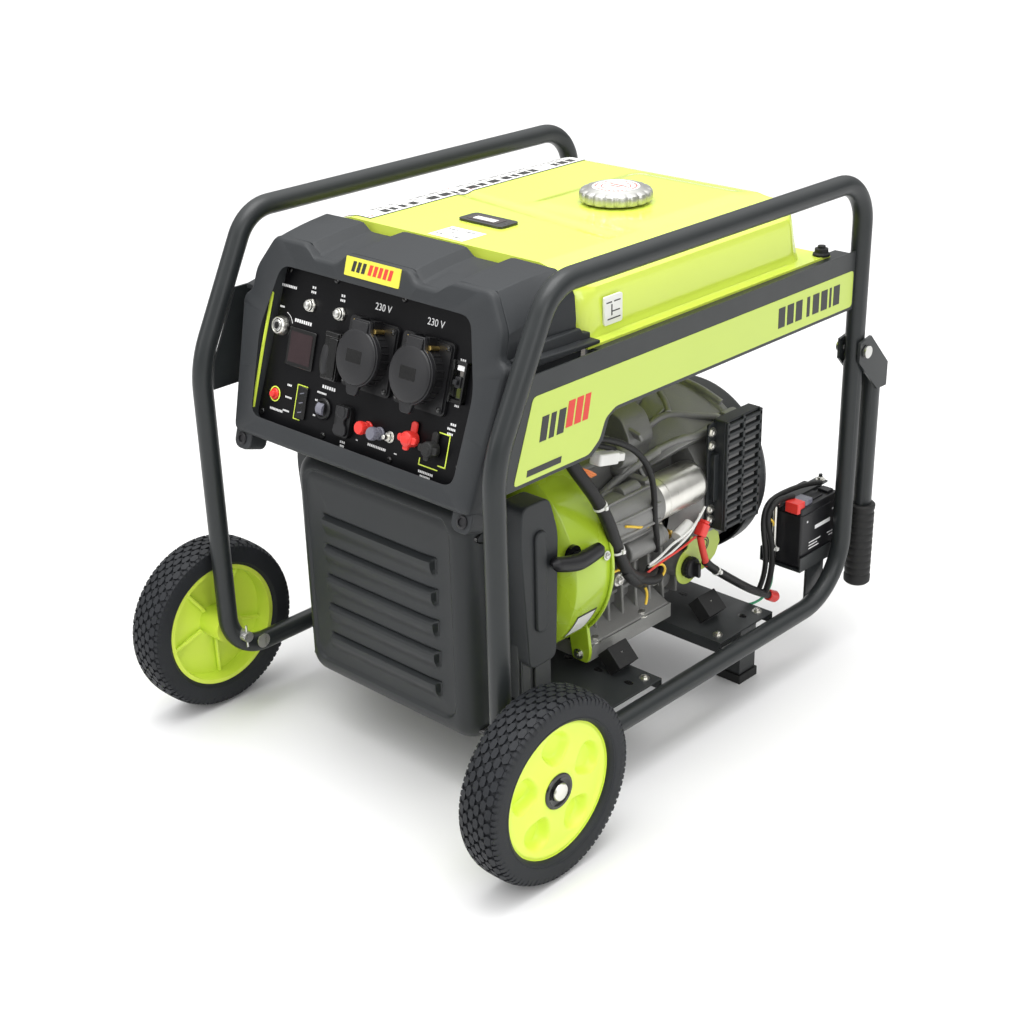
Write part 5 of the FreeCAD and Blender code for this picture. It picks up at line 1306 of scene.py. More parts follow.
def build_rim(name, side):
    rings = [23.5, 24.5, 27, 30, 33]
    rings += [34.5 + 1.35 * n for n in range(35)]
    rings += [83, 85, 87, 88.4, 89.4, 90.4, 91.2, 91.8]
    steps = 240
    points = []
    for r in rings:
        for k in range(steps):
            angle = 2 * math.pi * k / steps
            points.append(around(r, angle, rim_depth(r, angle)))
    faces = skin(len(rings), steps, False, True)
    builder = Builder().add(points, faces)
    builder.lathe([(91.8, 21.5), (91.8, -24), (86, -24), (84.8, -20), (84.8, 2), (40, 4), (23, 2),
        (23, -40), (8.1, -40), (8.1, 21)], None, 96, closed=False)
    for n in range(5):
        angle = math.radians(90 + 36 + 72 * n)
        builder.rod(around(26, angle, -2), around(84, angle, -2), 3.4, 10)
    builder.piece("rim_face_" + name, "lime_plastic", body="wheel_" + name,
        place=wheel_place(side), node="rim_" + name)
    hub = Builder().lathe([(8.4, 20), (23.6, 20), (24.2, 23.4), (23, 24.6), (19.5, 24.8),
        (17.4, 22.8), (13.4, 22.4), (12.6, 25.4), (10.6, 26.2), (8.4, 26.2)], None, 56)
    hub.piece("hub_ring_" + name, "gauge_black", "soft_rubber", body="wheel_" + name,
        place=wheel_place(side))
    end = Builder().lathe([(0.1, 24), (12, 24), (12, 26.2), (10.8, 27.9), (8.2, 28.6),
        (0.1, 28.9)], None, 40)
    end.piece("axle_cap_" + name, "silver_steel", "zinc_steel", place=wheel_place(side))


def build_grips():
    for name, side in SIDES:
        place = Matrix.Translation((side * 272, 444, 0))
        grip = Builder()
        profile = [(14.1, 90), (17, 90), (20, 93), (20.4, 97), (20.4, 103), (19.2, 106)]
        for n in range(9):
            z = 109 + 11.5 * n
            profile += [(18.6, z - 1.5), (19.9, z + 0.5), (19.9, z + 7.5), (18.6, z + 9.5)]
        profile += [(19.4, 214), (20.4, 217), (20.4, 222), (18.6, 224), (14.1, 224)]
        grip.lathe(profile, place, 48)
        grip.lathe([(0.1, 90.2), (17, 90.2), (17, 92), (0.1, 92)], place, 32)
        grip.piece("grip_" + name, "soft_rubber", body="folding_handle_" + name,
            node="handle_grip_" + name)


# ---------------------------------------------------------------------------------------------
# Engine, alternator and inverter
# ---------------------------------------------------------------------------------------------
CRANK_MM = (CRANK_X / MM, CRANK_Z / MM)


def crank_turn(lift=0.0):
    """Local Z runs rearwards along the crankshaft, local X to the right, local Y down."""
    return Matrix(((1, 0, 0, CRANK_MM[0]), (0, 0, 1, lift), (0, -1, 0, CRANK_MM[1]), (0, 0, 0, 1)))


def polar(radius, degrees, y):
    """A place about the crankshaft: degrees from the right, anticlockwise from the front."""
    angle = math.radians(degrees)
    return Vector((CRANK_MM[0] + radius * math.cos(angle), y, CRANK_MM[1] + radius
        * math.sin(angle)))


def sweep(builder, profile, start, end, steps):
    """A closed profile of (radius, y) swept part of the way round the crankshaft."""
    count = len(profile)
    points = []
    for k in range(steps + 1):
        degrees = start + (end - start) * k / steps
        points += [polar(r, degrees, y) for r, y in profile]
    faces = [tuple(range(count)), tuple(steps * count + n for n in reversed(range(count)))]
    faces += skin(steps + 1, count, False, True)
    return builder.add(points, faces)


def bolt(builder, spot, aim, radius=5.0, tall=4.0, washer=True):
    """A flanged hex bolt head."""
    turn = aimed(Vector(spot), Vector(aim).normalized())
    if washer:
        builder.lathe([(0.1, 0), (radius * 1.65, 0), (radius * 1.6, 1.2), (0.1, 1.4)], turn, 24)
    builder.prism(hexagon(radius * 1.08), 1, tall, turn)
    builder.lathe([(0.1, tall + 0.8), (radius * 0.5, tall + 0.8), (radius * 0.85, tall - 0.1),
        (0.1, tall - 0.1)], turn, 18)


def slab(builder, a, b, c, d, thick):
    """A plate through four corners, given thickness both ways."""
    corners = [Vector(p) for p in (a, b, c, d)]
    normal = (corners[1] - corners[0]).cross(corners[3] - corners[0]).normalized() * thick / 2
    points = [p - normal for p in corners] + [p + normal for p in corners]
    return builder.add(points, BOX_FACES)


def build_bell():
    """The cast bell between engine and alternator, with its ribs and mounting ears."""
    bell = Builder()
    drum = [(100, 88), (124, 104), (139, 122), (145, 134), (146, 148), (142, 172), (138, 212),
        (134, 254), (121, 254), (121, 156), (118, 140), (96, 110)]
    sweep(bell, drum, 43, 232, 90)
    low = [(96, 104), (112, 130), (118, 146), (121, 150), (121, 163), (104, 163), (96, 140)]
    sweep(bell, low, -62, 8, 30)
    sweep(bell, [(120, 240), (136, 240), (139, 244), (139, 254.6), (120, 254.6)], 43, 300, 100)
    for degrees, tip in ((48, 147), (99, 143), (150, 143), (200, 143)):
        bell.rod(polar(tip - 6, degrees, 226), polar(tip - 6, degrees, 255), 11, 24)
    for degrees in (64, 82, 118, 134, 170, 190, 214):
        slab(bell, polar(104, degrees, 90), polar(128, degrees + 3, 103),
            polar(151, degrees + 4, 140), polar(124, degrees + 2, 140), 6)
    bell.piece("bell_casting", "cast_aluminium", bevel=0.002, segments=3)
    head = Builder()
    for degrees, tip in ((48, 147), (99, 143), (150, 143), (200, 143)):
        bolt(head, polar(tip - 6, degrees, 226), (0, -1, 0), 5)
    head.piece("bell_bolts", "zinc_steel")


def cast_rib(name, route, radius):
    """A rounded rib along (radius, degrees, y) points on the bell."""
    points = [tuple(polar(r, degrees, y)) for r, degrees, y in route]
    return wire(name, points, radius, "cast_aluminium", order=3)


def build_bell_ribs():
    routes = [[(120, 104, 96), (143, 102, 120), (148, 97, 150), (143, 96, 190), (140, 99, 226)],
        [(118, 78, 90), (142, 82, 116), (147, 84, 140), (144, 92, 172), (141, 98, 206)],
        [(112, 66, 84), (136, 66, 112), (147, 64, 140), (143, 58, 176), (142, 50, 222)],
        [(147, 64, 140), (144, 72, 160), (141, 84, 180), (140, 90, 204)],
        [(122, 50, 96), (144, 48, 126), (147, 45, 150), (143, 46, 190), (141, 48, 228)],
        [(140, 58, 250), (140, 68, 246), (139, 80, 246), (140, 96, 250)],
        [(118, 124, 92), (144, 124, 124), (146, 126, 150), (142, 134, 190), (140, 148, 228)],
        [(118, 152, 92), (144, 154, 124), (146, 156, 150), (142, 160, 190), (138, 166, 228)],
        [(118, 184, 92), (144, 184, 124), (146, 186, 150), (142, 192, 190), (140, 199, 228)],]
    for n, route in enumerate(routes):
        cast_rib("bell_rib_%d" % n, route, 5.2)
    wire("case_rib_a", [(20, -30, 398), (60, 10, 406), (100, 52, 404), (118, 92, 392)], 6,
        "cast_aluminium", order=3)
    wire("case_rib_b", [(128, -60, 396), (136, -10, 398), (130, 40, 400), (112, 96, 400)], 6,
        "cast_aluminium", order=3)
    wire("case_rib_c", [(138, -64, 330), (144, -20, 352), (150, 40, 378), (152, 96, 386)], 6.5,
        "cast_aluminium", order=3)


def build_case():
    """Ribs, bosses and covers on the crankcase wall that faces outwards."""
    case = Builder()
    case.prism(round_box(-70, 176, 60, 300, 26), 133, 141, SIDEWAYS)
    for y in (-66, -40, -12, 18, 48, 78, 108, 138):
        slab(case, (134, y, 150), (158, y, 152), (150, y + 3, 250), (134, y + 3, 300), 5)
    slab(case, (132, -72, 196), (132, 146, 196), (146, 146, 196), (146, -72, 196), 6)
    slab(case, (132, -72, 262), (132, 100, 262), (148, 100, 262), (148, -72, 262), 6)
    slab(case, (134, -74, 172), (134, 100, 172), (172, 100, 152), (172, -74, 152), 5)
    case.rod((140, 136, 200), (178, 136, 200), 21, 36, end_radius=17.5)
    case.rod((128, 118, 176), (150, 118, 176), 14, 28)
    for y, z in ((15, 289), (22, 256), (-10, 231)):
        case.rod((132, y, z), (170, y, z), 12, 28, end_radius=10)
    for y, z in ((-58, 190), (-58, 268), (60, 268), (96, 182), (20, 300), (110, 268)):
        case.rod((130, y, z), (150, y, z), 9, 24)
    case.prism(rounded_path([(-8, 380), (128, 380), (140, 404), (122, 440), (70, 452), (16, 446),
        (-14, 420)], 14), -104, -52, UPRIGHT)
    for x0, z0, x1, z1 in ((128, 396, 168, 348), (110, 430, 150, 420), (60, 448, 66, 404)):
        slab(case, (x0, 60, z0), (x1, 60, z1), (x1, 66, z1 - 12), (x0, 66, z0 - 14), 6)
    for y in (60, 78, 96):
        slab(case, (20, y, 398), (132, y, 398), (118, y + 4, 428), (40, y + 4, 436), 5)
    case.rod((150, 8, 402), (150, 34, 398), 15, 26)
    case.rod((146, -18, 410), (154, 44, 392), 7, 18)
    case.rod((96, 20, 396), (150, 30, 372), 12, 22)
    case.piece("crankcase_ribs", "cast_aluminium", bevel=0.0022, segments=3)
    bolts = Builder()
    for y in (-55, 46):
        bolt(bolts, (165, y, 152), (0, 0, 1), 6.5, 7)
    for y, z in ((-58, 190), (-58, 268), (60, 268), (96, 182), (20, 300), (110, 268)):
        bolt(bolts, (150, y, z), (1, 0, 0), 4.2, 3.6)
    for y, z in ((15, 289), (22, 256), (-10, 231)):
        bolt(bolts, (170, y, z), (1, 0, 0), 5.6, 6)
    bolts.piece("crankcase_bolts", "silver_steel", "zinc_steel")
    studs = Builder()
    for x in (-58, 198):
        for y in (-42, 160):
            bolt(studs, (x + 2, y, 138), (0, 0, 1), 5, 6)
    studs.piece("mount_studs", "zinc_steel")


def build_starter():
    x, z = 172, 330
    along = Matrix.Translation((x, 0, z)) @ Matrix(((1, 0, 0, 0), (0, 0, 1, 0), (0, -1, 0, 0),
        (0, 0, 0, 1)))
    nose = Builder()
    nose.lathe([(0.1, -66), (24, -66), (30, -62), (34, -54), (34, -30), (35, -28), (35, 46),
        (33, 50), (0.1, 50)], along, 56)
    for degrees in (20, 65, 110, 155, 200, 250, 300, 340):
        a = math.radians(degrees)
        slab(nose, (x + 30 * math.cos(a), -60, z + 30 * math.sin(a)),
            (x + 38 * math.cos(a), -50, z + 38 * math.sin(a)), (x + 38.5 * math.cos(a), 36,
            z + 38.5 * math.sin(a)), (x + 30 * math.cos(a), 46, z + 30 * math.sin(a)), 4)
    nose.rod((x + 2, -14, z + 32), (x + 2, 22, z + 32), 11, 22)
    nose.box((x - 30, 30, z - 40), (x + 12, 44, z + 40))
    nose.piece("starter_nose", "cast_aluminium", node="starter_motor", bevel=0.0018, segments=3)
    can = Builder().lathe([(0.1, 42), (31, 42), (32, 44), (32, 62), (31.2, 62.6), (31.2, 63.8),
        (32, 64.4), (32, 138), (30.5, 145), (26, 150), (16, 152), (0.1, 152)], along, 64)
    can.piece("starter_can", "silver_steel", "machined_steel")
    relay = Builder().lathe([(0.1, -12), (15, -12), (17, -9), (17, 60), (15.5, 62), (15.5, 70),
        (11, 72), (0.1, 72)], Matrix.Translation((8, 0, -54)) @ along, 40)
    relay.box((168, -6, 282), (186, 38, 302))
    relay.piece("starter_relay", "cast_aluminium", "machined_steel", bevel=0.0012, segments=2)
    post = Builder()
    for dx in (-7, 7):
        post.rod((180 + dx, 70, 276), (180 + dx, 84, 276), 3.4, 16)
        bolt(post, (180 + dx, 76, 276), (0, 1, 0), 4.6, 4)
    post.piece("relay_posts", "brass", "zinc_steel")


def build_rectifier():
    """Regulator box: side flange with four screws, and a grille of slots outwards."""
    x0, x1 = 191, 216
    box = Builder()
    box.prism(round_box(170, 253, 254, 421, 3), x0, x1 - 4, SIDEWAYS)
    box.prism(round_box(155, 258, 172, 417, 4), x0, x0 + 4, SIDEWAYS)
    box.prism(round_box(160, 300, 180, 372, 2), x0, x0 + 12, SIDEWAYS)
    for y0, y1 in ((171, 176), (208, 213), (247, 253)):
        box.box((x1 - 4, y0, 254), (x1, y1, 420))
    for n in range(12):
        z = 256 + 14.1 * n
        box.box((x1 - 4, 172, z), (x1, 252, z + 5.6))
    box.piece("regulator_box", "cover_plastic", "satin_black", node="rectifier_box", bevel=0.0007,
        segments=2)
    # A thin dark sheet behind the grille bars: painted shade in the slots between them.
    dark = Builder().box((x1 - 4.6, 173, 256), (x1 - 3.6, 250, 418))
    dark.piece("regulator_slot_shade", "gauge_black", "satin_black")
    screws = Builder()
    for z in (270, 286, 384, 404):
        bolt(screws, (x0 + 4, 163, z), (1, 0, 0), 4.6, 4)
    screws.piece("regulator_screws", "silver_steel", "zinc_steel")


def build_fan_cover():
    cover = Builder()
    cover.lathe([(131, 255.2), (134, 255.2), (134, 282), (131, 290), (124, 296), (112, 297.6),
        (30, 297.6), (26, 298), (0.1, 298), (0.1, 294), (26, 294), (112, 293.6), (122, 291),
        (129, 284)], crank_turn(), 96, closed=False)
    for ring in range(4):
        radius = 42 + 20 * ring
        for n in range(10 + 6 * ring):
            degrees = 360 * n / (10 + 6 * ring) + 9 * ring
            a = polar(radius, degrees, 297.9)
            b = polar(radius + 12, degrees + 2, 297.9)
            cover.rod(a, b, 2.1, 8)
    cover.piece("rear_cover", "cover_plastic", "console_plastic", node="rear_fan_cover")
    bolts = Builder()
    for degrees in (35, 125, 215, 305):
        spot = polar(128, degrees, 289)
        bolt(bolts, spot, (0, 1, 0), 4.2, 4)
    bolts.piece("rear_cover_bolts", "zinc_steel")


def build_shroud_trim():
    """Recoil cover seam, bolts, the rope guide and a plain label on the lime shroud."""
    lime = Builder()
    sweep(lime, [(147, -82), (151, -82), (151, -77), (147, -77)], 0, 360, 90)
    lime.prism(rounded_path([(140, 196), (176, 196), (182, 150), (178, 132), (150, 132)], 6), 78,
        84, UPRIGHT)
    lime.piece("shroud_seam", "shroud_paint", "lime_paint", bevel=0.001, segments=2)
    # Rows of dark rods: painted shade in the recoil cover's slots; the larger rod is the black
    # rope guide.
    black = Builder()
    for n in range(7):
        for k in range(3):
            degrees = 18 * n - 30
            r = 70 + 16 * k
            a = polar(r, degrees, -167.5)
            b = polar(r, degrees + 9, -167.5)
            black.rod(a, b, 2.4, 8)
    black.rod((208, -149, 334), (213.6, -149, 334), 13, 28)
    black.piece("shroud_slot_shade_and_rope_guide", "gauge_black", "satin_black")
    bolts = Builder()
    bolt(bolts, (162, -84, 142), (0, -1, 0), 5, 5)
    for degrees in (8, 100, 190, 280):
        bolt(bolts, polar(149, degrees, -90), (math.cos(math.radians(degrees)), 0,
            math.sin(math.radians(degrees))), 4, 3.5)
    bolts.piece("shroud_bolts", "zinc_steel")
    label, ink = Builder(), Builder()
    for builder, lift, inset in ((label, 147.3, 0.0), (ink, 147.6, 2.6)):
        points = []
        for k in range(9):
            share = k / 8
            for v in (0, 1):
                degrees = -41 + (18 - inset) * share + inset * 0.5
                y = -140 + 5 * share + (40 - 2 * inset) * v + inset
                points.append(polar(lift, degrees, y))
        faces = [(2 * k, 2 * k + 1, 2 * k + 3, 2 * k + 2) for k in range(8)]
        builder.add(points, faces)
    label.piece("shroud_label", "label_ink", "lime_paint")
    ink.piece("shroud_label_face", "label_white", "lime_paint")


def build_recoil_handle():
    """A curved two-finger grip on its rope stem."""
    grip = Builder()
    rings = []
    for k in range(25):
        t = k / 24
        y = -203 + 100 * t
        bow = 3.2 * math.cos(math.pi * (t - 0.5) * 2) - 3.2
        wide = 8.6 + 3.0 * max(math.sin(math.pi * t), 0) ** 0.5
        if k in (0, 24):
            wide = 2.5
        elif k in (1, 23):
            wide = 6.4
        ring = []
        for n in range(20):
            a = 2 * math.pi * n / 20
            lift = 12 * max(0.5 - t, 0) ** 1.5 * 2.8 - 3
            ring.append((227.0 + bow * 0.6 + wide * math.cos(a) * 0.92, y,
                334 + lift + wide * math.sin(a)))
        rings.append(ring)
    count = 20
    points = [p for ring in rings for p in ring]
    faces = [tuple(range(count)), tuple(24 * count + n for n in reversed(range(count)))]
    faces += skin(25, count, False, True)
    grip.add(points, faces)
    grip.rod((214, -149, 334), (222, -149, 334), 4.6, 20, end_radius=8.5)
    grip.piece("pull_grip", "satin_black", "console_plastic", body="recoil_handle",
        node="recoil_handle")


def build_pull_rope():
    """The starter rope: almost all inside at rest; only a short length shows."""
    rings, sides = 25, 12
    points = []
    for k in range(rings):
        x = 205.0 + 17.0 * k / (rings - 1)
        for n in range(sides):
            a = 2 * math.pi * n / sides
            points.append((x, -149 + 2.1 * math.cos(a), 334 + 2.1 * math.sin(a)))
    faces = skin(rings, sides, False, True)
    faces.append(tuple(reversed(range(sides))))
    faces.append(tuple((rings - 1) * sides + n for n in range(sides)))
    rope = mesh_piece("pull_rope", [Vector(p) * MM for p in points], faces)
    rope.data.materials.append(MATERIALS["cable_black"])
    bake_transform(rope)


def build_dipstick():
    cap = Builder()
    along = Matrix(((0, 0, 1, 0), (1, 0, 0, 136), (0, 1, 0, 200), (0, 0, 0, 1)))
    cap.lathe([(0.1, 178.5), (15, 178.5), (15.4, 180), (15.4, 187), (14, 190.5), (11.5, 191.5),
        (0.1, 191.5)], along, 40)
    for n in range(18):
        a = 2 * math.pi * n / 18
        cap.rod((180, 136 + 15.2 * math.cos(a), 200 + 15.2 * math.sin(a)),
            (188, 136 + 15.2 * math.cos(a), 200 + 15.2 * math.sin(a)), 1.1, 8)
    cap.prism(round_box(-3, -11.5, 3, 11.5, 2.5), 191, 200.5, along)
    cap.piece("dipstick_cap", "satin_black", "console_plastic", body="dipstick", node="dipstick",
        bevel=0.0008, segments=2)
    tag = Builder()
    outline = arc((2, 0), 28, 96, 330, 26) + [(42, -18), (66, -4), (76, 14), (72, 30), (52, 44),
        (30, 52), (16, 50), (4, 40)]
    outline = rounded_path(outline[:26] + outline[27:], 2, 2)
    tag.prism(outline, 176.2, 178.0, along)
    tag.piece("dipstick_tag", "label_lime", "lime_paint", bevel=0.0004, segments=2)
    marks = Builder()
    marks.lathe([(6, 177.9), (8, 177.9), (8, 178.3), (6, 178.3)], Matrix.Translation((0, 38,
        22)) @ along, 28)
    marks.lathe([(9.4, 177.9), (11.4, 177.9), (11.4, 178.3), (9.4, 178.3)],
        Matrix.Translation((0, 38, 22)) @ along, 28)
    marks.piece("dipstick_tag_marks", "label_ink", "gauge_black")


def build_inverter():
    metal = Builder()
    metal.box((-148, -287, 125), (148, -245, 405))
    for n in range(28):
        x = -142 + 10.4 * n
        metal.box((x, -246, 130), (x + 2.4, -222, 400))
    metal.piece("inverter_case", "cast_aluminium", node="inverter_module", bevel=0.0006,
        segments=2)
    plates = Builder()
    for side in (LEFT, RIGHT):
        x0, x1 = sorted((side * 196, side * 200))
        for y0, y1 in ((-237, -222), (-213, -182)):
            plates.prism([(y0, 112), (y1, 112), (y1, 405), (y0, 405)], x0, x1, SIDEWAYS)
        for z0, z1 in ((112, 150), (215, 240), (360, 405)):
            plates.prism([(-223, z0), (-212, z0), (-212, z1), (-223, z1)], x0, x1, SIDEWAYS)
        ends = sorted((side * 172, side * 196))
        plates.box((ends[0], -240, 150), (ends[1], -200, 400))
    plates.piece("inverter_brackets", "frame_paint", bevel=0.0012, segments=2)
    box = Builder()
    for side in (LEFT, RIGHT):
        x0, x1 = sorted((side * 176, side * 214))
        shape = rounded_path([(-238, 200), (-186, 200), (-180, 380), (-196, 432), (-246, 432),
            (-250, 380)], 14)
        box.prism(shape, x0, x1, SIDEWAYS)
        x0, x1 = sorted((side * 212, side * 218))
        box.prism(round_box(-226, 250, -205, 392, 9), x0, x1, SIDEWAYS)
    box.piece("inverter_ducts", "cover_plastic", "console_plastic", bevel=0.002, segments=3)


def build_left_side():
    """Muffler guard, air cleaner cover ribs and clips: the left side of the machine."""
    guard = Builder()
    for n in range(6):
        z = 328 + 17 * n
        guard.box((-246, 112, z), (-241, 274, z + 7))
    guard.box((-246, 104, 322), (-241, 112, 436))
    guard.box((-246, 274, 322), (-241, 282, 436))
    guard.piece("muffler_guard", "muffler_steel", bevel=0.001, segments=2)
    clips = Builder()
    for y in (-186, -146):
        clips.box((-236, y - 6, 448), (-231, y + 6, 474))
    clips.piece("air_cleaner_clips", "zinc_steel", bevel=0.0008, segments=2)
    ribs = Builder()
    for n in range(5):
        y = -202 + 18 * n
        ribs.box((-234.5, y, 418), (-230, y + 6, 440))
    ribs.piece("air_cleaner_ribs", "satin_black", "console_plastic", bevel=0.001, segments=2)


# ---------------------------------------------------------------------------------------------
# Battery and wiring
# ---------------------------------------------------------------------------------------------
def build_battery():
    case = Builder()
    case.prism(round_box(185, 316, 250, 414, 4), 152, 236)
    case.prism(round_box(186.5, 317.5, 248.5, 412.5, 3), 235.5, 247)
    case.prism(round_box(224, 322, 243, 337, 2), 246.5, 251)
    case.prism(round_box(224, 393, 243, 408, 2), 246.5, 251)
    case.prism(round_box(208, 344, 240, 386, 3), 246.5, 249)
    case.piece("battery_case", "satin_black", node="battery", bevel=0.0012, segments=3)
    red = Builder()
    red.prism(round_box(222, 311, 246, 330, 2.5), 240, 256.5)
    red.piece("battery_terminal_cover", "signal_red", bevel=0.0012, segments=3)
    clear = Builder()
    clear.prism(round_box(222, 331, 245, 352, 4), 246, 255)
    clear.piece("battery_clear_cover", "grey_plastic", "satin_black", bevel=0.0015, segments=3)
    print_ = Builder()
    for y, z, wide, tall in ((352, 205, 40, 6), (338, 186, 30, 1.6), (338, 181, 22, 1.6),
            (338, 176, 26, 1.6), (386, 186, 20, 1.6), (390, 181, 16, 1.6), (330, 222, 3, 3),
            (396, 222, 3, 3)):
        print_.prism([(y, z), (y + wide, z), (y + wide, z + tall), (y, z + tall)], 249.9, 250.3,
            SIDEWAYS)
    print_.piece("battery_marks", "panel_white", "satin_black")
    nuts = Builder()
    for y in (307, 423):
        bolt(nuts, (209, y, 251), (0, 0, 1), 4.6, 4.4)
    nuts.rod((209, 307, 150), (209, 307, 254), 3.3, 16)
    nuts.piece("battery_nuts", "silver_steel", "zinc_steel")


def build_wiring():
    loom = wire("engine_loom", [(196, -168, 496), (202, -150, 468), (207, -134, 440),
        (212, -110, 407), (217, -86, 362), (215, -66, 312), (210, -42, 268), (202, -4, 240),
        (199, 24, 230), (190, 40, 236)], 9.2, "cable_black")
    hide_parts("wiring_looms")
    for name, paint, radius, route in (
        ("top_lead", "cable_black", 4.4, [(196, -128, 478), (200, -96, 476), (201, -68, 467),
                (205, -16, 439), (209, 12, 399), (209, 20, 357), (206, 23, 316), (200, 40, 281),
                (190, 48, 262)]),
        ("top_lead_b", "cable_black", 3.6, [(190, -150, 486), (198, -122, 478), (202, -92, 466),
                (202, -72, 456), (196, -50, 446)]),
        ("loom_branch_a", "cable_black", 6.4, [(205, -20, 248), (209, 6, 236), (206, 34, 224),
                (196, 52, 226), (188, 62, 234)]),
        ("loom_branch_b", "cable_black", 7.0, [(211, -44, 270), (213, -30, 250), (208, -14, 238),
                (198, 2, 232)]),
        ("battery_lead", "cable_black", 6.4, [(204, 143, 214), (206, 152, 203), (206, 167, 191),
                (207, 200, 166), (207, 234, 141), (207, 270, 116), (206, 304, 98)]),
        ("battery_lead_red", "label_red", 5.2, [(201, 134, 256), (204, 134, 240), (205, 139, 224),
                (205, 146, 208)]),
        ("battery_cables", "cable_black", 4.6, [(224, 330, 258), (216, 308, 262), (214, 286, 252),
                (214, 278, 236), (214, 288, 208), (214, 298, 182), (213, 299, 134),
                (208, 290, 106)]),
        ("battery_cables_b", "cable_black", 4.0, [(226, 400, 258), (216, 380, 262),
                (206, 320, 262), (208, 282, 258), (210, 272, 226), (212, 284, 180),
                (209, 288, 140), (204, 280, 116)]),
    ):
        wire(name, route, radius, paint)
    for n, dx in enumerate((-4, 0, 4)):
        wire("orange_wire_%d" % n, [(198, -136, 446 + dx), (204, -122 + dx, 440),
            (204, -108, 432 + dx), (200, -96 + dx, 424)], 1.7, "wire_orange")
    for name, paint, radius, route in (
        ("blue_wire", "wire_blue", 1.5, [(206, -64, 447), (209, -54, 446), (208, -48, 440),
                (203, -44, 436)]),
        ("white_wire", "wire_white", 1.8, [(200, 21, 252), (204, 44, 258), (202, 62, 268),
                (206, 92, 272), (208, 116, 284), (208, 134, 304)]),
        ("white_wire_b", "wire_white", 1.5, [(196, 24, 246), (202, 50, 250), (206, 82, 262),
                (208, 112, 276), (206, 126, 296)]),
        ("red_wire", "label_red", 1.7, [(200, 10, 240), (206, 32, 250), (206, 60, 254),
                (204, 90, 254), (200, 124, 258)]),
        ("yellow_wire_a", "wire_yellow", 1.9, [(208, -40, 334), (208, -26, 330), (207, -4, 318),
                (200, 18, 312)]),
        ("yellow_wire_b", "wire_yellow", 1.8, [(206, -70, 272), (210, -58, 280), (211, -46, 276),
                (208, -36, 262)]),
        ("yellow_wire_c", "wire_yellow", 1.8, [(202, 26, 246), (206, 38, 252), (206, 52, 240),
                (204, 48, 226), (202, 30, 220), (198, 16, 224)]),
        ("yellow_wire_d", "wire_yellow", 2.0, [(202, 10, 222), (206, 12, 214), (206, 9, 206),
                (205, 8, 198)]),
        ("white_wire_c", "wire_white", 1.4, [(214, -70, 330), (217, -62, 300), (213, -50, 276),
                (206, -46, 262)]),
        ("rear_yellow", "wire_yellow", 1.8, [(212, 280, 238), (216, 290, 232), (215, 296, 224),
                (211, 300, 218)]),
        ("earth_green", "wire_green", 2.0, [(212, 300, 150), (214, 302, 126), (210, 294, 104),
                (204, 274, 94), (196, 252, 96), (188, 238, 110)]),
    ):
        wire(name, route, radius, paint)
    plugs = Builder()
    turn = Matrix.Translation((200, 137, 261)) @ Matrix.Rotation(math.radians(-32), 4, "X")
    plugs.prism(round_box(-7, -8, 7, 8, 2.5), -6, 13, turn)
    plugs.prism(round_box(-5.5, -6, 5.5, 6, 2), 13, 18, turn)
    plugs.piece("red_plug", "signal_red", bevel=0.0015, segments=3)
    end = Builder()
    end.rod((206, 302, 99), (207, 318, 90), 8.6, 24, end_radius=9.4)
    end.rod((207, 318, 90), (207, 323, 87), 7.6, 24, end_radius=6.4)
    end.piece("red_plug_low", "signal_red", bevel=0.001, segments=2)
    white = Builder()
    turn = Matrix.Translation((205, -74, 444)) @ Matrix.Rotation(math.radians(-12), 4, "X")
    white.prism(round_box(-10, -26, 10, 14, 4), -8, 8, turn)
    white.prism(round_box(-8, 12, 8, 28, 3), -5.5, 5.5, turn)
    white.piece("white_plug", "wire_white", "satin_black", bevel=0.0018, segments=3)
    small = Builder()
    small.rod((195, 88, 268), (195, 117, 280), 9.6, 22, end_radius=8.4)
    small.piece("white_plug_low", "wire_white", "satin_black", bevel=0.001, segments=2)
    ties = Builder()
    for spot, aim, radius in (((214, -99, 386), (5, 24, -45), 10.0),
            ((216, -66, 312), (-3, 22, -48), 10.0), ((206, 168, 190), (0, 33, -25), 7.2),
            ((214, 298, 182), (0, 8, -30), 5.6)):
        turn = aimed(spot, Vector(aim).normalized())
        ties.lathe([(radius - 1, -2), (radius, -2), (radius, 2), (radius - 1, 2)], turn, 28)
        ties.box((spot[0] + radius * 0.8, spot[1] - 3, spot[2] - 2.5),
            (spot[0] + radius * 0.8 + 5, spot[1] + 2, spot[2] + 2.5))
    ties.piece("cable_ties", "wire_white", "cable_black", bevel=0.0004, segments=2)


def build_frame_trim():
    """Plate bolts, axle bolts and the cross plate's details."""
    bolts = Builder()
    for x, y in ((-240, 226), (240, 226), (-240, 130), (240, 130), (-240, -36), (240, -36),
            (-240, -196), (240, -196), (120, 128), (-60, 128)):
        bolt(bolts, (x, y, 112), (0, 0, 1), 4.6, 4)
    for side in (LEFT, RIGHT):
        bolt(bolts, (side * 222, -330, 127), (side, 0, 0), 6.5, 6)
    bolts.piece("plate_bolts", "silver_steel", "zinc_steel")
    # Dark oval discs on the base plates: painted shade in the plate holes.
    hole_shade = Builder()
    for x in range(-220, 221, 55):
        for y in (-188, -60, 200):
            hole_shade.lathe([(0.1, 112), (4.6, 112), (4.6, 112.25), (0.1, 112.25)],
                Matrix.Translation((x + 12, y, 0)) @ Matrix.Diagonal((1.6, 1, 1, 1)), 20)
    hole_shade.piece("plate_hole_shade", "gauge_black", "frame_paint")


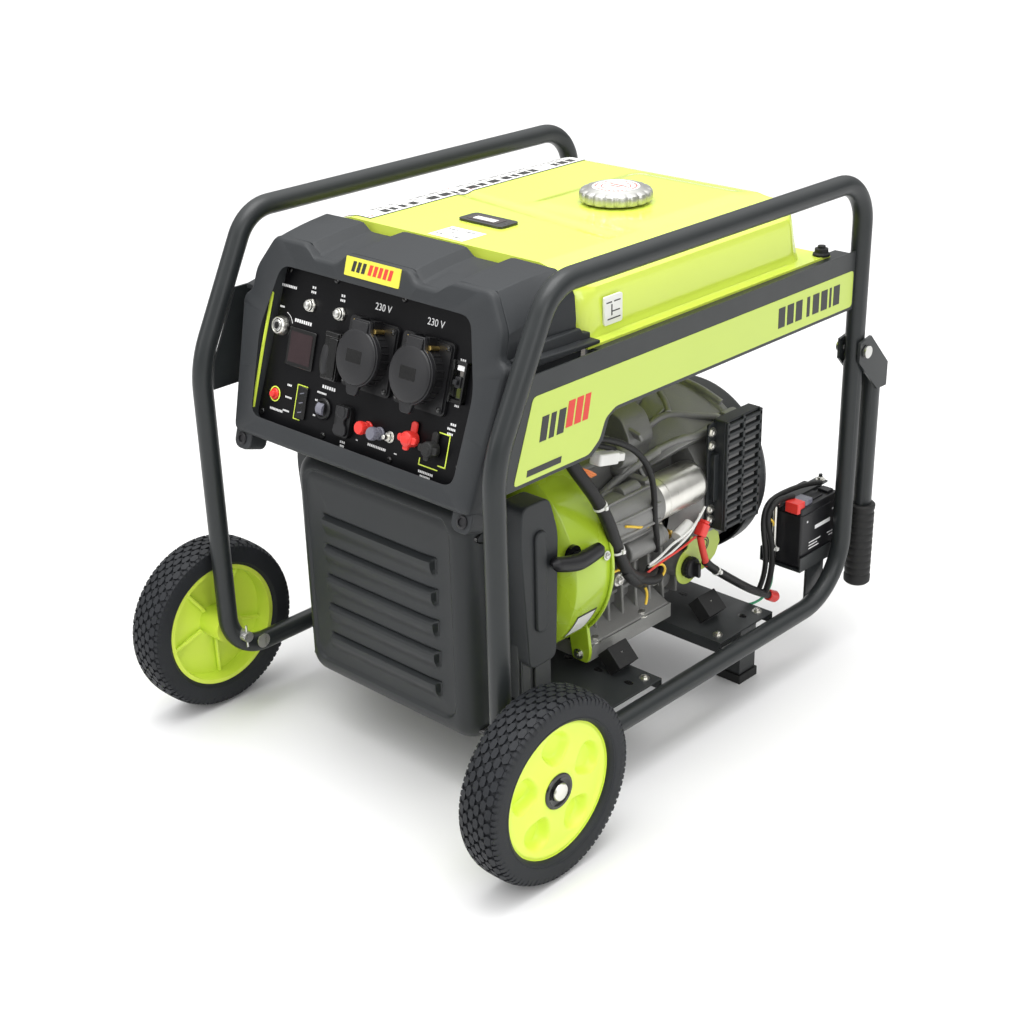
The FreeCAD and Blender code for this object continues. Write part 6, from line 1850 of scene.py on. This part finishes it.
build_camera()
build_stage()
dress_cad()
build_bezel()
build_hood()
build_panel_trim()
build_outlets()
build_switches()
build_cover()
build_tank()
build_cap()
build_labels()
for name, side in SIDES:
    build_tyre(name, side)
    build_rim(name, side)
build_grips()
build_bell()
build_bell_ribs()
build_case()
build_starter()
build_rectifier()
build_fan_cover()
build_shroud_trim()
build_recoil_handle()
build_pull_rope()
build_dipstick()
build_inverter()
build_left_side()
build_battery()
build_wiring()
build_frame_trim()
